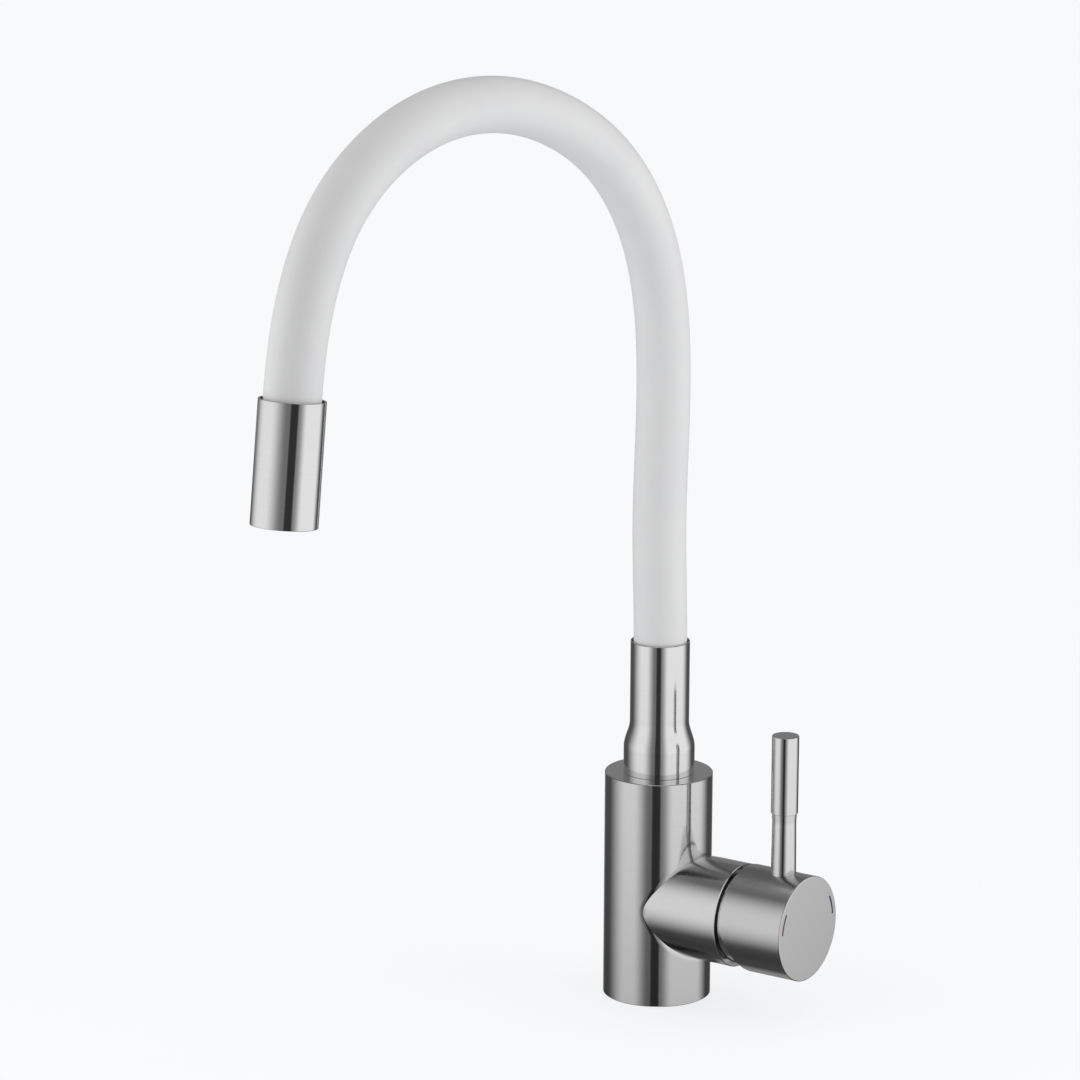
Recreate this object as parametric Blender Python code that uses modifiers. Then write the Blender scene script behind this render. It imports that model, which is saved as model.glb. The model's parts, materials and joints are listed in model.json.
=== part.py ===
"""A single-lever kitchen faucet with a flexible gooseneck spout in a silicone sleeve.

The frame is in metres with +Z up. The origin is the centre of the body's base, on the deck. The spout
reaches out along -Y, over the sink, and the lever's branch points along +X, to the user's right.

Every piece is one object. The moving pieces hang under empties that stand on their joints' axes:
spout_swivel, hose_bend_1 to hose_bend_6, handle_turn, handle_tilt and disc_slide.
"""
import math

import bmesh
import bpy
import numpy
from mathutils import Matrix, Vector

# Clearances and overruns
GAP = 0.0003                    # between faces that touch on the real faucet
RUN_CLEARANCE = 0.0004          # between a turning piece and its bore
CUT = 0.002                     # how far a cutter runs past the face that it opens

# Body and branch
BODY_RADIUS = 0.025
BODY_HEIGHT = 0.1067
BODY_EDGE = 0.0005
BRANCH_RADIUS = 0.02415
BRANCH_HEIGHT = 0.0454          # deck to the branch's axis
BRANCH_REACH = 0.047            # body axis to the branch's mouth
BRANCH_EDGE = 0.0006
BASE_RELIEF_RADIUS = 0.0185
BASE_RELIEF_DEPTH = 0.002
SEAL_GROOVE_INNER = 0.0202
SEAL_GROOVE_OUTER = 0.0232
SEAL_GROOVE_DEPTH = 0.0016
INLET_RADIUS = 0.0045           # M10 x 1 thread's minor radius
INLET_DEPTH = 0.016
INLET_WAY_RADIUS = 0.003
STUD_HOLE_RADIUS = 0.0034       # M8 thread's minor radius
STUD_HOLE_DEPTH = 0.016
STUD_HOLE_OFFSET = 0.0125

# Mixing cartridge, from its seat outwards along the branch
CARTRIDGE_DEPTH = 0.0335        # the branch's mouth to the cartridge's seat
CARTRIDGE_RADIUS = 0.0175
PORT_CIRCLE_RADIUS = 0.008
PORT_RADIUS = 0.0031
PORT_ANGLES = {"mixed": 90.0, "hot": 210.0, "cold": 330.0}
CARTRIDGE_BASE_THICKNESS = 0.0055
PORT_SEAL_WIDTH = 0.0012
PORT_SEAL_DEPTH = 0.0014
PEG_RADIUS = 0.0014
PEG_LENGTH = 0.0025
PEG_CIRCLE_RADIUS = 0.0138
PEG_ANGLES = (0.0, 180.0)
DISC_THICKNESS = 0.0034
FIXED_DISC_RADIUS = 0.0135
MOVING_DISC_RADIUS = 0.011
MOVING_DISC_DROP = 0.002        # the moving disc's rest place under the branch's axis, taps closed
MIXING_POCKET_RADIUS = 0.0075
MIXING_POCKET_DEPTH = 0.0018
DISC_CARRIER_THICKNESS = 0.005
BALL_SOCKET_DEPTH = 0.0041
HOUSING_WALL = 0.0018
HOUSING_FRONT_WALL = 0.0032
HOUSING_LENGTH = 0.0211
CARRIER_NECK_RADIUS = 0.010
CARRIER_HEAD_LENGTH = 0.0049
CARRIER_LENGTH = 0.0145

# Spindle and its pivot
PIVOT_DEPTH = 0.003             # the branch's mouth to the tilt pin
TILT_PIN_RADIUS = 0.0015
TILT_PIN_LENGTH = 0.0185
SPINDLE_WIDTH = 0.008
SPINDLE_ROD_RADIUS = 0.0017
SPINDLE_BALL_RADIUS = 0.0022
SPINDLE_SQUARE_TAIL = 0.003     # square stretch behind the pivot
SPINDLE_BALL_ARM = 0.0136       # pivot to the ball's centre
BALL_CLEARANCE = 0.0005
TILT_LIMIT = math.radians(24.0)

# Cartridge nut and the domed collar ring over it
NUT_RADIUS = 0.0203
NUT_THICKNESS = 0.0052
NUT_OPENING_RADIUS = 0.0128
NUT_SLOT_WIDTH = 0.004
NUT_SLOT_DEPTH = 0.0016
NUT_SLOTS = 4
COLLAR_RADIUS = 0.022           # the dome is part of a ball round the pivot
COLLAR_WALL = 0.0012
COLLAR_FRONT = 0.012            # pivot to the dome's front rim
COLLAR_SKIRT = 0.0008
COLLAR_STEPS = 3

# Handle cap
CAP_RADIUS = 0.0245
CAP_STAND_OFF = 0.0027          # the branch's mouth to the cap's rear edge
CAP_LENGTH = 0.0329
CAP_EDGE = 0.0004
CAP_WALL = 0.0021
CAP_FACE_THICKNESS = 0.0181     # the cap's flat face to the bottom of its recess
CAP_RELIEF = math.radians(20.0)
CAP_SOCKET_DEPTH = 0.0115
MARK_RADIUS = 0.0214
MARK_WIDTH = 0.0010
MARK_THICKNESS = 0.0005
MARK_GROOVE_DEPTH = 0.0008
MARK_CENTRE_ANGLE = math.radians(18.5)
MARK_HALF_ANGLE = math.radians(13.0)
MARK_STEPS = 6

# Lever pin and the grub screw under it
PIN_SETBACK = 0.0136            # the cap's face to the pin's axis
PIN_LENGTH = 0.0651             # the cap's top line to the pin's top
PIN_GRIP_LENGTH = 0.0365        # the pin's top to the step between grip and stem
PIN_STEP_LENGTH = 0.0012
PIN_GRIP_RADIUS = 0.00623
PIN_STEM_RADIUS = 0.0055
PIN_FOOT_RADIUS = 0.0058
PIN_EDGE = 0.0004
PIN_THREAD_RADIUS = 0.003
PIN_THREAD_LENGTH = 0.012
GRUB_RADIUS = 0.0025
GRUB_LENGTH = 0.006
GRUB_KEY_WIDTH = 0.0025         # across flats
GRUB_KEY_DEPTH = 0.0024

# Spout swivel: slip washer, spigot, rings and neck
SLIP_WASHER_THICKNESS = 0.0006
SLIP_WASHER_RADIUS = 0.0161
SPIGOT_BORE_RADIUS = 0.011      # socket in the body's top
CHAMBER_ROOF = 0.0085           # metal between the cartridge's chamber and that socket
SPIGOT_HEAD_HEIGHT = 0.017
SPIGOT_WAY_RADIUS = 0.006
SPIGOT_SOCKET_RADIUS = 0.009
SPIGOT_SOCKET_DEPTH = 0.012
SPIGOT_FLOOR = 0.002            # free height under the spigot
O_RING_GROOVE_WIDTH = 0.0026
O_RING_GROOVE_DEPTH = 0.0020
O_RING_HEIGHT_SHARES = {"lower": 0.182, "upper": 0.455}
CLIP_HEIGHT_SHARE = 0.727
CLIP_THICKNESS = 0.0014
CLIP_GROOVE_DEPTH = 0.0015
CLIP_SPLIT = math.radians(28.0)
NECK_FOOT_RADIUS = 0.01645
NECK_CUP_RADIUS = 0.0137
NECK_BORE_RADIUS = 0.0130
NECK_SHOULDER_START = 0.0119    # the body's top to the shoulder's lower end
NECK_SHOULDER_LENGTH = 0.0126
NECK_LENGTH = 0.0625            # the body's top to the neck's rim
NECK_SHOULDER_STEPS = 5

# Hose: sleeve, gooseneck and water tube
HOSE_RADIUS = 0.0125
SLEEVE_WALL = 0.0016
GOOSENECK_RADIUS = 0.0098
GOOSENECK_WALL = 0.0020
WATER_TUBE_RADIUS = 0.0060
WATER_TUBE_WALL = 0.0014
HOSE_REACH = 0.2774             # body axis to the head's rim
HOSE_RISE = 0.2678              # neck rim to the arch's top, on the hose's centre line
BEND_COUNT = 6
BEND_LIMIT = math.radians(18.0)  # how far each bend goes either way from the photographed form
BEND_SLACK = math.radians(10.0)  # for the hose's own curve at a bend, and some play
BEND_END_LENGTH = 0.002         # straight stretch at each end of a gooseneck length
HOSE_SAG = 0.0004               # how far a facet of the hose may lie off its curve
HOSE_LONGEST_STEP = 0.030
# The centre line from the neck's rim to the head's rim, as shares of the reach and of the rise
HOSE_ROUTE_SHARES = (
    (0.0, 0.0), (0.0065, 0.197), (-0.0012, 0.436), (0.0335, 0.675), (0.126, 0.822), (0.303, 0.943),
    (0.530, 1.0), (0.753, 0.968), (0.902, 0.867), (0.979, 0.716), (1.0, 0.604),
)

# Hose ends
FERRULE_PLUG_RADIUS = 0.0087
FERRULE_PLUG_LENGTH = 0.0115
FERRULE_FLANGE_RADIUS = 0.0123
FERRULE_FLANGE_THICKNESS = 0.0024
NIPPLE_RADIUS = 0.0037
NIPPLE_WALL = 0.0011
NIPPLE_LENGTH = 0.020
NIPPLE_BARBS = 2
NIPPLE_BARB_HEIGHT = 0.0005

# Head
HEAD_TILT = math.radians(6.67)
HEAD_RADIUS = 0.0144
HEAD_LENGTH = 0.0532
HEAD_WALL = 0.00095
HEAD_EDGE = 0.0003
HEAD_FITTINGS_LENGTH = 0.0195   # the sleeve's end to the head's lower edge
HEAD_LOWER_BORE = 0.0123
HEAD_LEDGE_HEIGHT = 0.0132      # the head's lower edge to the ledge that carries the adapter
ADAPTER_FLANGE_RADIUS = 0.0131
ADAPTER_LENGTH = 0.0078
ADAPTER_BORE_RADIUS = 0.005
HOSE_WASHER_THICKNESS = 0.0012
HEAD_PLUG_LENGTH = 0.0043
AERATOR_SEAL_THICKNESS = 0.0012
AERATOR_SEAL_INNER = 0.0086
AERATOR_WALL = 0.0012
AERATOR_LIP = 0.0012
AERATOR_LIP_HEIGHT = 0.0008
GRILLE_THICKNESS = 0.0024
GRILLE_CELL = 0.0036            # pitch of the hexagonal cells
GRILLE_WEB = 0.0007
GRILLE_RINGS = 2
SCREEN_THICKNESS = 0.0010
SCREEN_HOLE_RADIUS = 0.0009
SCREEN_INNER_CIRCLE = 0.0032
SCREEN_OUTER_CIRCLE = 0.0068

# Facets
BODY_SIDES = 44
CAP_SIDES = 40
NECK_SIDES = 32
HEAD_SIDES = 32
COLLAR_SIDES = 26
RING_SIDES = 20
PIN_SIDES = 18
SMALL_SIDES = 12
HOLE_SIDES = 10
BALL_SIDES = 10
BALL_RINGS = 6
O_RING_SECTION_SIDES = 5
SLEEVE_STEPS = 6                # 16 sides
SLEEVE_BORE_STEPS = 3           # 10 sides
GOOSENECK_STEPS = 2             # 8 sides
WATER_TUBE_STEPS = 1            # 6 sides
SCREEN_INNER_HOLES = 4
SCREEN_OUTER_HOLES = 8
MERGE = 0.00001
SMOOTH_ANGLE = math.radians(32.0)

# Places worked out from the sizes above: offsets from the body's axis, and heights above the deck
SEAT_OFFSET = BRANCH_REACH - CARTRIDGE_DEPTH
PIVOT_OFFSET = BRANCH_REACH - PIVOT_DEPTH
CAP_MOUTH = BRANCH_REACH + CAP_STAND_OFF
CAP_FACE = CAP_MOUTH + CAP_LENGTH
CAP_FLOOR = CAP_FACE - CAP_FACE_THICKNESS
PIN_OFFSET = CAP_FACE - PIN_SETBACK
PIN_TOP = BRANCH_HEIGHT + CAP_RADIUS + PIN_LENGTH
PIN_STEP = PIN_TOP - PIN_GRIP_LENGTH
NECK_SHOULDER_BOTTOM = BODY_HEIGHT + NECK_SHOULDER_START
NECK_SHOULDER_TOP = NECK_SHOULDER_BOTTOM + NECK_SHOULDER_LENGTH
NECK_TOP = BODY_HEIGHT + NECK_LENGTH
HEAD_HOSE_DEPTH = HEAD_LENGTH - HEAD_FITTINGS_LENGTH
HEAD_LEDGE_DEPTH = HEAD_LENGTH - HEAD_LEDGE_HEIGHT
BRANCH_AXIS = Vector((0.0, 0.0, BRANCH_HEIGHT))
PIVOT = Vector((PIVOT_OFFSET, 0.0, BRANCH_HEIGHT))
BRANCH_FRAME = Matrix.Translation(BRANCH_AXIS) @ Matrix.Rotation(math.pi / 2, 4, "Y")
CARTRIDGE_BASE_BACK = SEAT_OFFSET + GAP
CARTRIDGE_BASE_FRONT = CARTRIDGE_BASE_BACK + CARTRIDGE_BASE_THICKNESS
FIXED_DISC_BACK = CARTRIDGE_BASE_FRONT + GAP
MOVING_DISC_BACK = FIXED_DISC_BACK + DISC_THICKNESS + GAP
DISC_CARRIER_BACK = MOVING_DISC_BACK + DISC_THICKNESS + GAP
SPINDLE_CARRIER_BACK = DISC_CARRIER_BACK + DISC_CARRIER_THICKNESS + GAP
HOUSING_BACK = CARTRIDGE_BASE_FRONT + GAP
HOUSING_FRONT = HOUSING_BACK + HOUSING_LENGTH
HOUSING_BORE = CARTRIDGE_RADIUS - HOUSING_WALL
NUT_BACK = HOUSING_FRONT + GAP
SOCKET_FLOOR = BRANCH_HEIGHT + CARTRIDGE_RADIUS + GAP + CHAMBER_ROOF
SPIGOT_BOTTOM = SOCKET_FLOOR + SPIGOT_FLOOR
SPIGOT_DEPTH = BODY_HEIGHT - SPIGOT_BOTTOM
CLIP_BOTTOM = SPIGOT_BOTTOM + CLIP_HEIGHT_SHARE * SPIGOT_DEPTH
SPIGOT_RADIUS = SPIGOT_BORE_RADIUS - GAP
SPIGOT_HEAD_BOTTOM = BODY_HEIGHT + GAP
SPIGOT_TOP = SPIGOT_HEAD_BOTTOM + SPIGOT_HEAD_HEIGHT
SPIGOT_HEAD_RADIUS = NECK_BORE_RADIUS - GAP
NECK_BOTTOM = BODY_HEIGHT + SLIP_WASHER_THICKNESS + 2 * GAP
LOWER_FLANGE_TOP = SPIGOT_TOP + GAP + FERRULE_FLANGE_THICKNESS
SLEEVE_BOTTOM = LOWER_FLANGE_TOP + GAP
BEND_GAP = 2 * GOOSENECK_RADIUS * math.tan((BEND_LIMIT + BEND_SLACK) / 2)


def flat(radius, angle):
    """A point of the branch's cross-section, at an angle from +Y towards +Z."""
    return Vector((0.0, radius * math.cos(angle), BRANCH_HEIGHT + radius * math.sin(angle)))


def clear_scene():
    """Remove what the scene holds."""
    for old in list(bpy.data.objects):
        bpy.data.objects.remove(old, do_unlink=True)


def new_collection(name):
    """Make a collection in the scene."""
    collection = bpy.data.collections.new(name)
    bpy.context.scene.collection.children.link(collection)
    return collection


clear_scene()
FAUCET = new_collection("flexible_kitchen_faucet")
CUTTERS = new_collection("cutters")


def new_material(name, colour, roughness, metallic):
    """Make a plain material."""
    material = bpy.data.materials.new(name)
    material.use_nodes = True
    shader = material.node_tree.nodes["Principled BSDF"]
    shader.inputs["Base Color"].default_value = (*colour, 1.0)
    shader.inputs["Roughness"].default_value = roughness
    shader.inputs["Metallic"].default_value = metallic
    material.diffuse_color = (*colour, 1.0)
    return material


STEEL = new_material("brushed_stainless_steel", (0.62, 0.62, 0.61), 0.28, 1.0)
SPRING_STEEL = new_material("spring_steel", (0.50, 0.50, 0.52), 0.35, 1.0)
BRASS = new_material("brass", (0.78, 0.60, 0.32), 0.30, 1.0)
SILICONE = new_material("white_silicone", (0.86, 0.86, 0.85), 0.55, 0.0)
RUBBER = new_material("black_rubber", (0.03, 0.03, 0.03), 0.70, 0.0)
PLASTIC = new_material("grey_plastic", (0.55, 0.56, 0.58), 0.45, 0.0)
WHITE_PLASTIC = new_material("white_plastic", (0.82, 0.82, 0.80), 0.40, 0.0)
TUBE_PLASTIC = new_material("tube_plastic", (0.72, 0.76, 0.78), 0.35, 0.0)
CERAMIC = new_material("ceramic", (0.88, 0.87, 0.84), 0.25, 0.0)
RED_ENAMEL = new_material("red_enamel", (0.62, 0.06, 0.05), 0.35, 0.0)
BLUE_ENAMEL = new_material("blue_enamel", (0.06, 0.16, 0.55), 0.35, 0.0)


def add_object(name, mesh, material=None, frame=None):
    """Link a piece to the faucet's collection, or a cutter, which has no material."""
    piece = bpy.data.objects.new(name, mesh)
    piece.matrix_world = frame if frame is not None else Matrix.Identity(4)
    if material is None:
        CUTTERS.objects.link(piece)
        piece.hide_render = True
        piece.display_type = "WIRE"
    else:
        FAUCET.objects.link(piece)
        mesh.materials.append(material)
    return piece


def evaluated_mesh(piece):
    """The mesh that an object's modifiers, or its curve, make."""
    bpy.context.view_layer.update()
    depsgraph = bpy.context.evaluated_depsgraph_get()
    return bpy.data.meshes.new_from_object(piece.evaluated_get(depsgraph), depsgraph=depsgraph)


def settle(piece):
    """Apply the modifiers and shade the round faces smooth."""
    mesh = evaluated_mesh(piece)
    piece.modifiers.clear()
    piece.data = mesh
    shape = bmesh.new()
    shape.from_mesh(mesh)
    bmesh.ops.remove_doubles(shape, verts=shape.verts, dist=MERGE)
    bmesh.ops.dissolve_degenerate(shape, edges=shape.edges, dist=MERGE)
    shape.to_mesh(mesh)
    shape.free()
    mesh.shade_smooth()
    mesh.set_sharp_from_angle(angle=SMOOTH_ANGLE)
    return piece


def turned(name, material, profile, frame=None, sides=RING_SIDES):
    """Turn a profile of (radius, height) points round the frame's Z axis.

    The profile runs down its outer side. It closes on itself, unless it starts and ends on the axis.
    """
    mesh = bpy.data.meshes.new(name)
    open_ended = profile[0][0] == 0.0 and profile[-1][0] == 0.0
    count = len(profile)
    last = count - 1 if open_ended else count
    edges = [(index, (index + 1) % count) for index in range(last)]
    mesh.from_pydata([(radius, 0.0, height) for radius, height in profile], edges, [])
    piece = add_object(name, mesh, material, frame)
    screw = piece.modifiers.new("turn", "SCREW")
    screw.angle = 2 * math.pi
    screw.steps = screw.render_steps = sides
    screw.use_merge_vertices = True
    screw.merge_threshold = MERGE
    return settle(piece)


def ring(name, material, outer, inner, bottom, top, frame=None, sides=RING_SIDES):
    """A plain turned ring."""
    profile = [(outer, top), (outer, bottom), (inner, bottom), (inner, top)]
    return turned(name, material, profile, frame, sides)


def rod(name, start, end, radius, material=None, sides=HOLE_SIDES, end_radius=None):
    """A cylinder, or a cone, between two points."""
    start, end = Vector(start), Vector(end)
    mesh = bpy.data.meshes.new(name)
    shape = bmesh.new()
    bmesh.ops.create_cone(
        shape, cap_ends=True, segments=sides, radius1=radius,
        radius2=radius if end_radius is None else end_radius, depth=(end - start).length)
    shape.to_mesh(mesh)
    shape.free()
    turn = (end - start).to_track_quat("Z", "Y").to_matrix().to_4x4()
    return add_object(name, mesh, material, Matrix.Translation((start + end) / 2) @ turn)


def block(name, low, high, material=None, frame=None):
    """A box between two corners of a frame."""
    low, high = Vector(low), Vector(high)
    mesh = bpy.data.meshes.new(name)
    shape = bmesh.new()
    bmesh.ops.create_cube(shape, size=1.0)
    bmesh.ops.scale(shape, vec=high - low, verts=shape.verts)
    bmesh.ops.translate(shape, vec=(low + high) / 2, verts=shape.verts)
    shape.to_mesh(mesh)
    shape.free()
    return add_object(name, mesh, material, frame)


def combine(piece, operation, *others):
    """Cut other shapes from a piece, or join them to it."""
    for other in others:
        boolean = piece.modifiers.new(other.name, "BOOLEAN")
        boolean.operation = operation
        boolean.solver = "EXACT"
        boolean.object = other
    return settle(piece)


def cut(piece, *cutters):
    """Cut shapes out of a piece."""
    return combine(piece, "DIFFERENCE", *cutters)


def join(piece, *others):
    """Join shapes to a piece, as one body."""
    return combine(piece, "UNION", *others)


def plate(name, outline, thickness, material=None, frame=None):
    """A flat outline, made thick on both sides of its plane."""
    curve = bpy.data.curves.new(name + "_outline", "CURVE")
    curve.dimensions = "2D"
    curve.fill_mode = "BOTH"
    curve.extrude = thickness / 2
    spline = curve.splines.new("POLY")
    spline.points.add(len(outline) - 1)
    for point, (across, along) in zip(spline.points, outline):
        point.co = (across, along, 0.0, 1.0)
    spline.use_cyclic_u = True
    guide = bpy.data.objects.new(name + "_outline", curve)
    CUTTERS.objects.link(guide)
    mesh = evaluated_mesh(guide)
    bpy.data.objects.remove(guide)
    shape = bmesh.new()
    shape.from_mesh(mesh)
    bmesh.ops.remove_doubles(shape, verts=shape.verts, dist=MERGE)
    bmesh.ops.recalc_face_normals(shape, faces=shape.faces)
    shape.to_mesh(mesh)
    shape.free()
    return add_object(name, mesh, material, frame)


def arc_points(radius, first, last, steps, centre=(0.0, 0.0)):
    """Points on an arc, with both its ends."""
    angles = [first + (last - first) * step / steps for step in range(steps + 1)]
    return [(centre[0] + radius * math.cos(angle), centre[1] + radius * math.sin(angle)) for angle in angles]


class HoseRoute:
    """The hose's centre line in the plane X = 0, by the distance from the sleeve's lower end.

    It runs straight up inside the neck, then along a smooth curve through the route's points, and
    straight again inside the head.
    """

    STEPS_PER_SPAN = 40

    def __init__(self):
        rim = numpy.array((0.0, NECK_TOP))
        knots = [rim + (-out * HOSE_REACH, up * HOSE_RISE) for out, up in HOSE_ROUTE_SHARES]
        head_way = numpy.array((-math.sin(HEAD_TILT), -math.cos(HEAD_TILT)))
        free = self.smooth_curve(numpy.array(knots), numpy.array((0.0, 1.0)), head_way)
        start = numpy.array((0.0, SLEEVE_BOTTOM))
        end = free[-1] + head_way * HEAD_HOSE_DEPTH
        self.points = numpy.vstack((start, free, end))
        steps = numpy.linalg.norm(numpy.diff(self.points, axis=0), axis=1)
        self.distances = numpy.concatenate(((0.0,), numpy.cumsum(steps)))
        self.length = float(self.distances[-1])
        self.neck_rim = NECK_TOP - SLEEVE_BOTTOM
        self.head_rim = self.length - HEAD_HOSE_DEPTH
        self.stations = self.place_stations()

    @classmethod
    def smooth_curve(cls, knots, first_slope, last_slope):
        """A curve of even bending through the knots, with the given directions at its ends."""
        chords = numpy.linalg.norm(numpy.diff(knots, axis=0), axis=1)
        count = len(knots)
        system = numpy.eye(count)
        known = numpy.zeros((count, 2))
        known[0], known[-1] = first_slope, last_slope
        for index in range(1, count - 1):
            before, after = chords[index - 1], chords[index]
            system[index, index - 1:index + 2] = (after, 2 * (before + after), before)
            known[index] = 3 * (after * (knots[index] - knots[index - 1]) / before
                                + before * (knots[index + 1] - knots[index]) / after)
        slopes = numpy.linalg.solve(system, known)
        points = [knots[0]]
        for index, chord in enumerate(chords):
            for step in range(1, cls.STEPS_PER_SPAN + 1):
                part = step / cls.STEPS_PER_SPAN
                rest = 1.0 - part
                straight = (rest * rest * (1 + 2 * part) * knots[index]
                            + part * part * (3 - 2 * part) * knots[index + 1])
                bowed = chord * part * rest * (rest * slopes[index] - part * slopes[index + 1])
                points.append(straight + bowed)
        return numpy.array(points)

    def place_stations(self):
        """Distances where the hose's facets meet, closer together where the hose bends more."""
        ways = numpy.diff(self.points, axis=0)
        headings = numpy.unwrap(numpy.arctan2(ways[:, 1], ways[:, 0]))
        middles = (self.distances[1:] + self.distances[:-1]) / 2
        bending = numpy.abs(numpy.gradient(headings, middles))
        steps = numpy.sqrt(8 * HOSE_SAG / numpy.maximum(bending, 8 * HOSE_SAG / HOSE_LONGEST_STEP ** 2))
        density = numpy.interp(self.distances, middles, 1 / steps)
        spans = numpy.diff(self.distances) * (density[1:] + density[:-1]) / 2
        counts = numpy.concatenate(((0.0,), numpy.cumsum(spans)))
        total = math.ceil(counts[-1])
        return numpy.interp(numpy.linspace(0.0, counts[-1], total + 1), counts, self.distances)

    def at(self, distance):
        """The point at a distance along the centre line."""
        along = numpy.interp(distance, self.distances, self.points[:, 0])
        up = numpy.interp(distance, self.distances, self.points[:, 1])
        return Vector((0.0, float(along), float(up)))

    def stretch(self, start, end, square=0.0):
        """The points of a stretch: its two ends and the stations between them.

        A square length at each end keeps the end faces square to the centre line there.
        """
        margin = HOSE_RADIUS / 2 + square
        inner = [place for place in self.stations if start + margin < place < end - margin]
        if square:
            inner = [start + square, *inner, end - square]
        return [self.at(place) for place in (start, *inner, end)]


ROUTE = HoseRoute()
HEAD_RIM = ROUTE.at(ROUTE.head_rim)
HEAD_FRAME = Matrix.Translation(HEAD_RIM) @ Matrix.Rotation(-HEAD_TILT, 4, "X")
BEND_PITCH = (ROUTE.head_rim - ROUTE.neck_rim) / BEND_COUNT
BENDS = [ROUTE.neck_rim + BEND_PITCH * (index + 0.5) for index in range(BEND_COUNT)]


def hose_rod(name, points, radius, bevel, caps, material=None):
    """A round tube's outer surface along points, with or without its end caps."""
    curve = bpy.data.curves.new(name + "_route", "CURVE")
    curve.dimensions = "3D"
    curve.twist_mode = "MINIMUM"
    curve.bevel_depth = radius
    curve.bevel_resolution = bevel
    curve.use_fill_caps = caps
    spline = curve.splines.new("POLY")
    spline.points.add(len(points) - 1)
    for point, place in zip(spline.points, points):
        point.co = (*place, 1.0)
    guide = bpy.data.objects.new(name + "_route", curve)
    CUTTERS.objects.link(guide)
    tube = add_object(name, evaluated_mesh(guide), material)
    bpy.data.objects.remove(guide)
    return tube


def hose_tube(name, material, points, radius, wall, bevel):
    """A tube with its bore, along points."""
    tube = hose_rod(name, points, radius, bevel, False, material)
    shell = tube.modifiers.new("wall", "SOLIDIFY")
    shell.thickness = wall
    shell.offset = -1.0
    return settle(tube)


def make_faucet_body():
    """The body: an upright cylinder with its branch, bored for the cartridge, the spigot and the water."""
    profile = [
        (0.0, BODY_HEIGHT), (BODY_RADIUS - BODY_EDGE, BODY_HEIGHT), (BODY_RADIUS, BODY_HEIGHT - BODY_EDGE),
        (BODY_RADIUS, BODY_EDGE), (BODY_RADIUS - BODY_EDGE, 0.0), (0.0, 0.0),
    ]
    body = turned("faucet_body", STEEL, profile, sides=BODY_SIDES)
    branch_profile = [
        (0.0, BRANCH_REACH), (BRANCH_RADIUS - BRANCH_EDGE, BRANCH_REACH),
        (BRANCH_RADIUS, BRANCH_REACH - BRANCH_EDGE), (BRANCH_RADIUS, 0.0), (0.0, 0.0),
    ]
    join(body, turned("branch_guide", None, branch_profile, BRANCH_FRAME, BODY_SIDES))

    chamber = [
        (0.0, BRANCH_REACH + CUT), (NUT_RADIUS + GAP, BRANCH_REACH + CUT), (NUT_RADIUS + GAP, NUT_BACK - GAP),
        (CARTRIDGE_RADIUS + GAP, NUT_BACK - GAP), (CARTRIDGE_RADIUS + GAP, SEAT_OFFSET), (0.0, SEAT_OFFSET),
    ]
    clip_floor = CLIP_BOTTOM - GAP
    clip_roof = clip_floor + CLIP_THICKNESS + 2 * GAP
    groove = SPIGOT_BORE_RADIUS + CLIP_GROOVE_DEPTH
    socket = [
        (0.0, BODY_HEIGHT + CUT), (SPIGOT_BORE_RADIUS, BODY_HEIGHT + CUT), (SPIGOT_BORE_RADIUS, clip_roof),
        (groove, clip_roof), (groove, clip_floor), (SPIGOT_BORE_RADIUS, clip_floor),
        (SPIGOT_BORE_RADIUS, SOCKET_FLOOR), (0.0, SOCKET_FLOOR),
    ]
    relief = [
        (0.0, BASE_RELIEF_DEPTH), (BASE_RELIEF_RADIUS, BASE_RELIEF_DEPTH), (BASE_RELIEF_RADIUS, -CUT),
        (0.0, -CUT),
    ]
    cutters = [
        turned("chamber_cutter", None, chamber, BRANCH_FRAME, CAP_SIDES),
        turned("spigot_socket_cutter", None, socket),
        turned("base_relief_cutter", None, relief),
        ring("seal_groove_cutter", None, SEAL_GROOVE_OUTER, SEAL_GROOVE_INNER, -CUT, SEAL_GROOVE_DEPTH,
             sides=BODY_SIDES),
    ]
    cut(body, *cutters)

    ways = []
    for name, angle in PORT_ANGLES.items():
        port = flat(PORT_CIRCLE_RADIUS, math.radians(angle))
        seat_end = port + Vector((SEAT_OFFSET + CUT, 0.0, 0.0))
        back_end = port - Vector((PORT_RADIUS, 0.0, 0.0))
        ways.append(rod(name + "_port_cutter", back_end, seat_end, PORT_RADIUS))
        if name == "mixed":
            top = Vector((port.x, port.y, SOCKET_FLOOR + CUT))
            ways.append(rod("outlet_way_cutter", port, top, INLET_WAY_RADIUS))
        else:
            mouth = Vector((port.x, port.y, BASE_RELIEF_DEPTH - CUT))
            floor = Vector((port.x, port.y, INLET_DEPTH))
            ways.append(rod(name + "_inlet_cutter", mouth, floor, INLET_RADIUS))
            ways.append(rod(name + "_way_cutter", mouth, port, INLET_WAY_RADIUS))
    stud_mouth = Vector((-STUD_HOLE_OFFSET, 0.0, BASE_RELIEF_DEPTH - CUT))
    stud_floor = Vector((-STUD_HOLE_OFFSET, 0.0, STUD_HOLE_DEPTH))
    ways.append(rod("stud_hole_cutter", stud_mouth, stud_floor, STUD_HOLE_RADIUS))
    for angle in PEG_ANGLES:
        peg = flat(PEG_CIRCLE_RADIUS, math.radians(angle))
        start = peg + Vector((SEAT_OFFSET - PEG_LENGTH, 0.0, 0.0))
        end = peg + Vector((SEAT_OFFSET + CUT, 0.0, 0.0))
        ways.append(rod("peg_hole_cutter", start, end, PEG_RADIUS + GAP))
    return cut(body, *ways)


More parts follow.
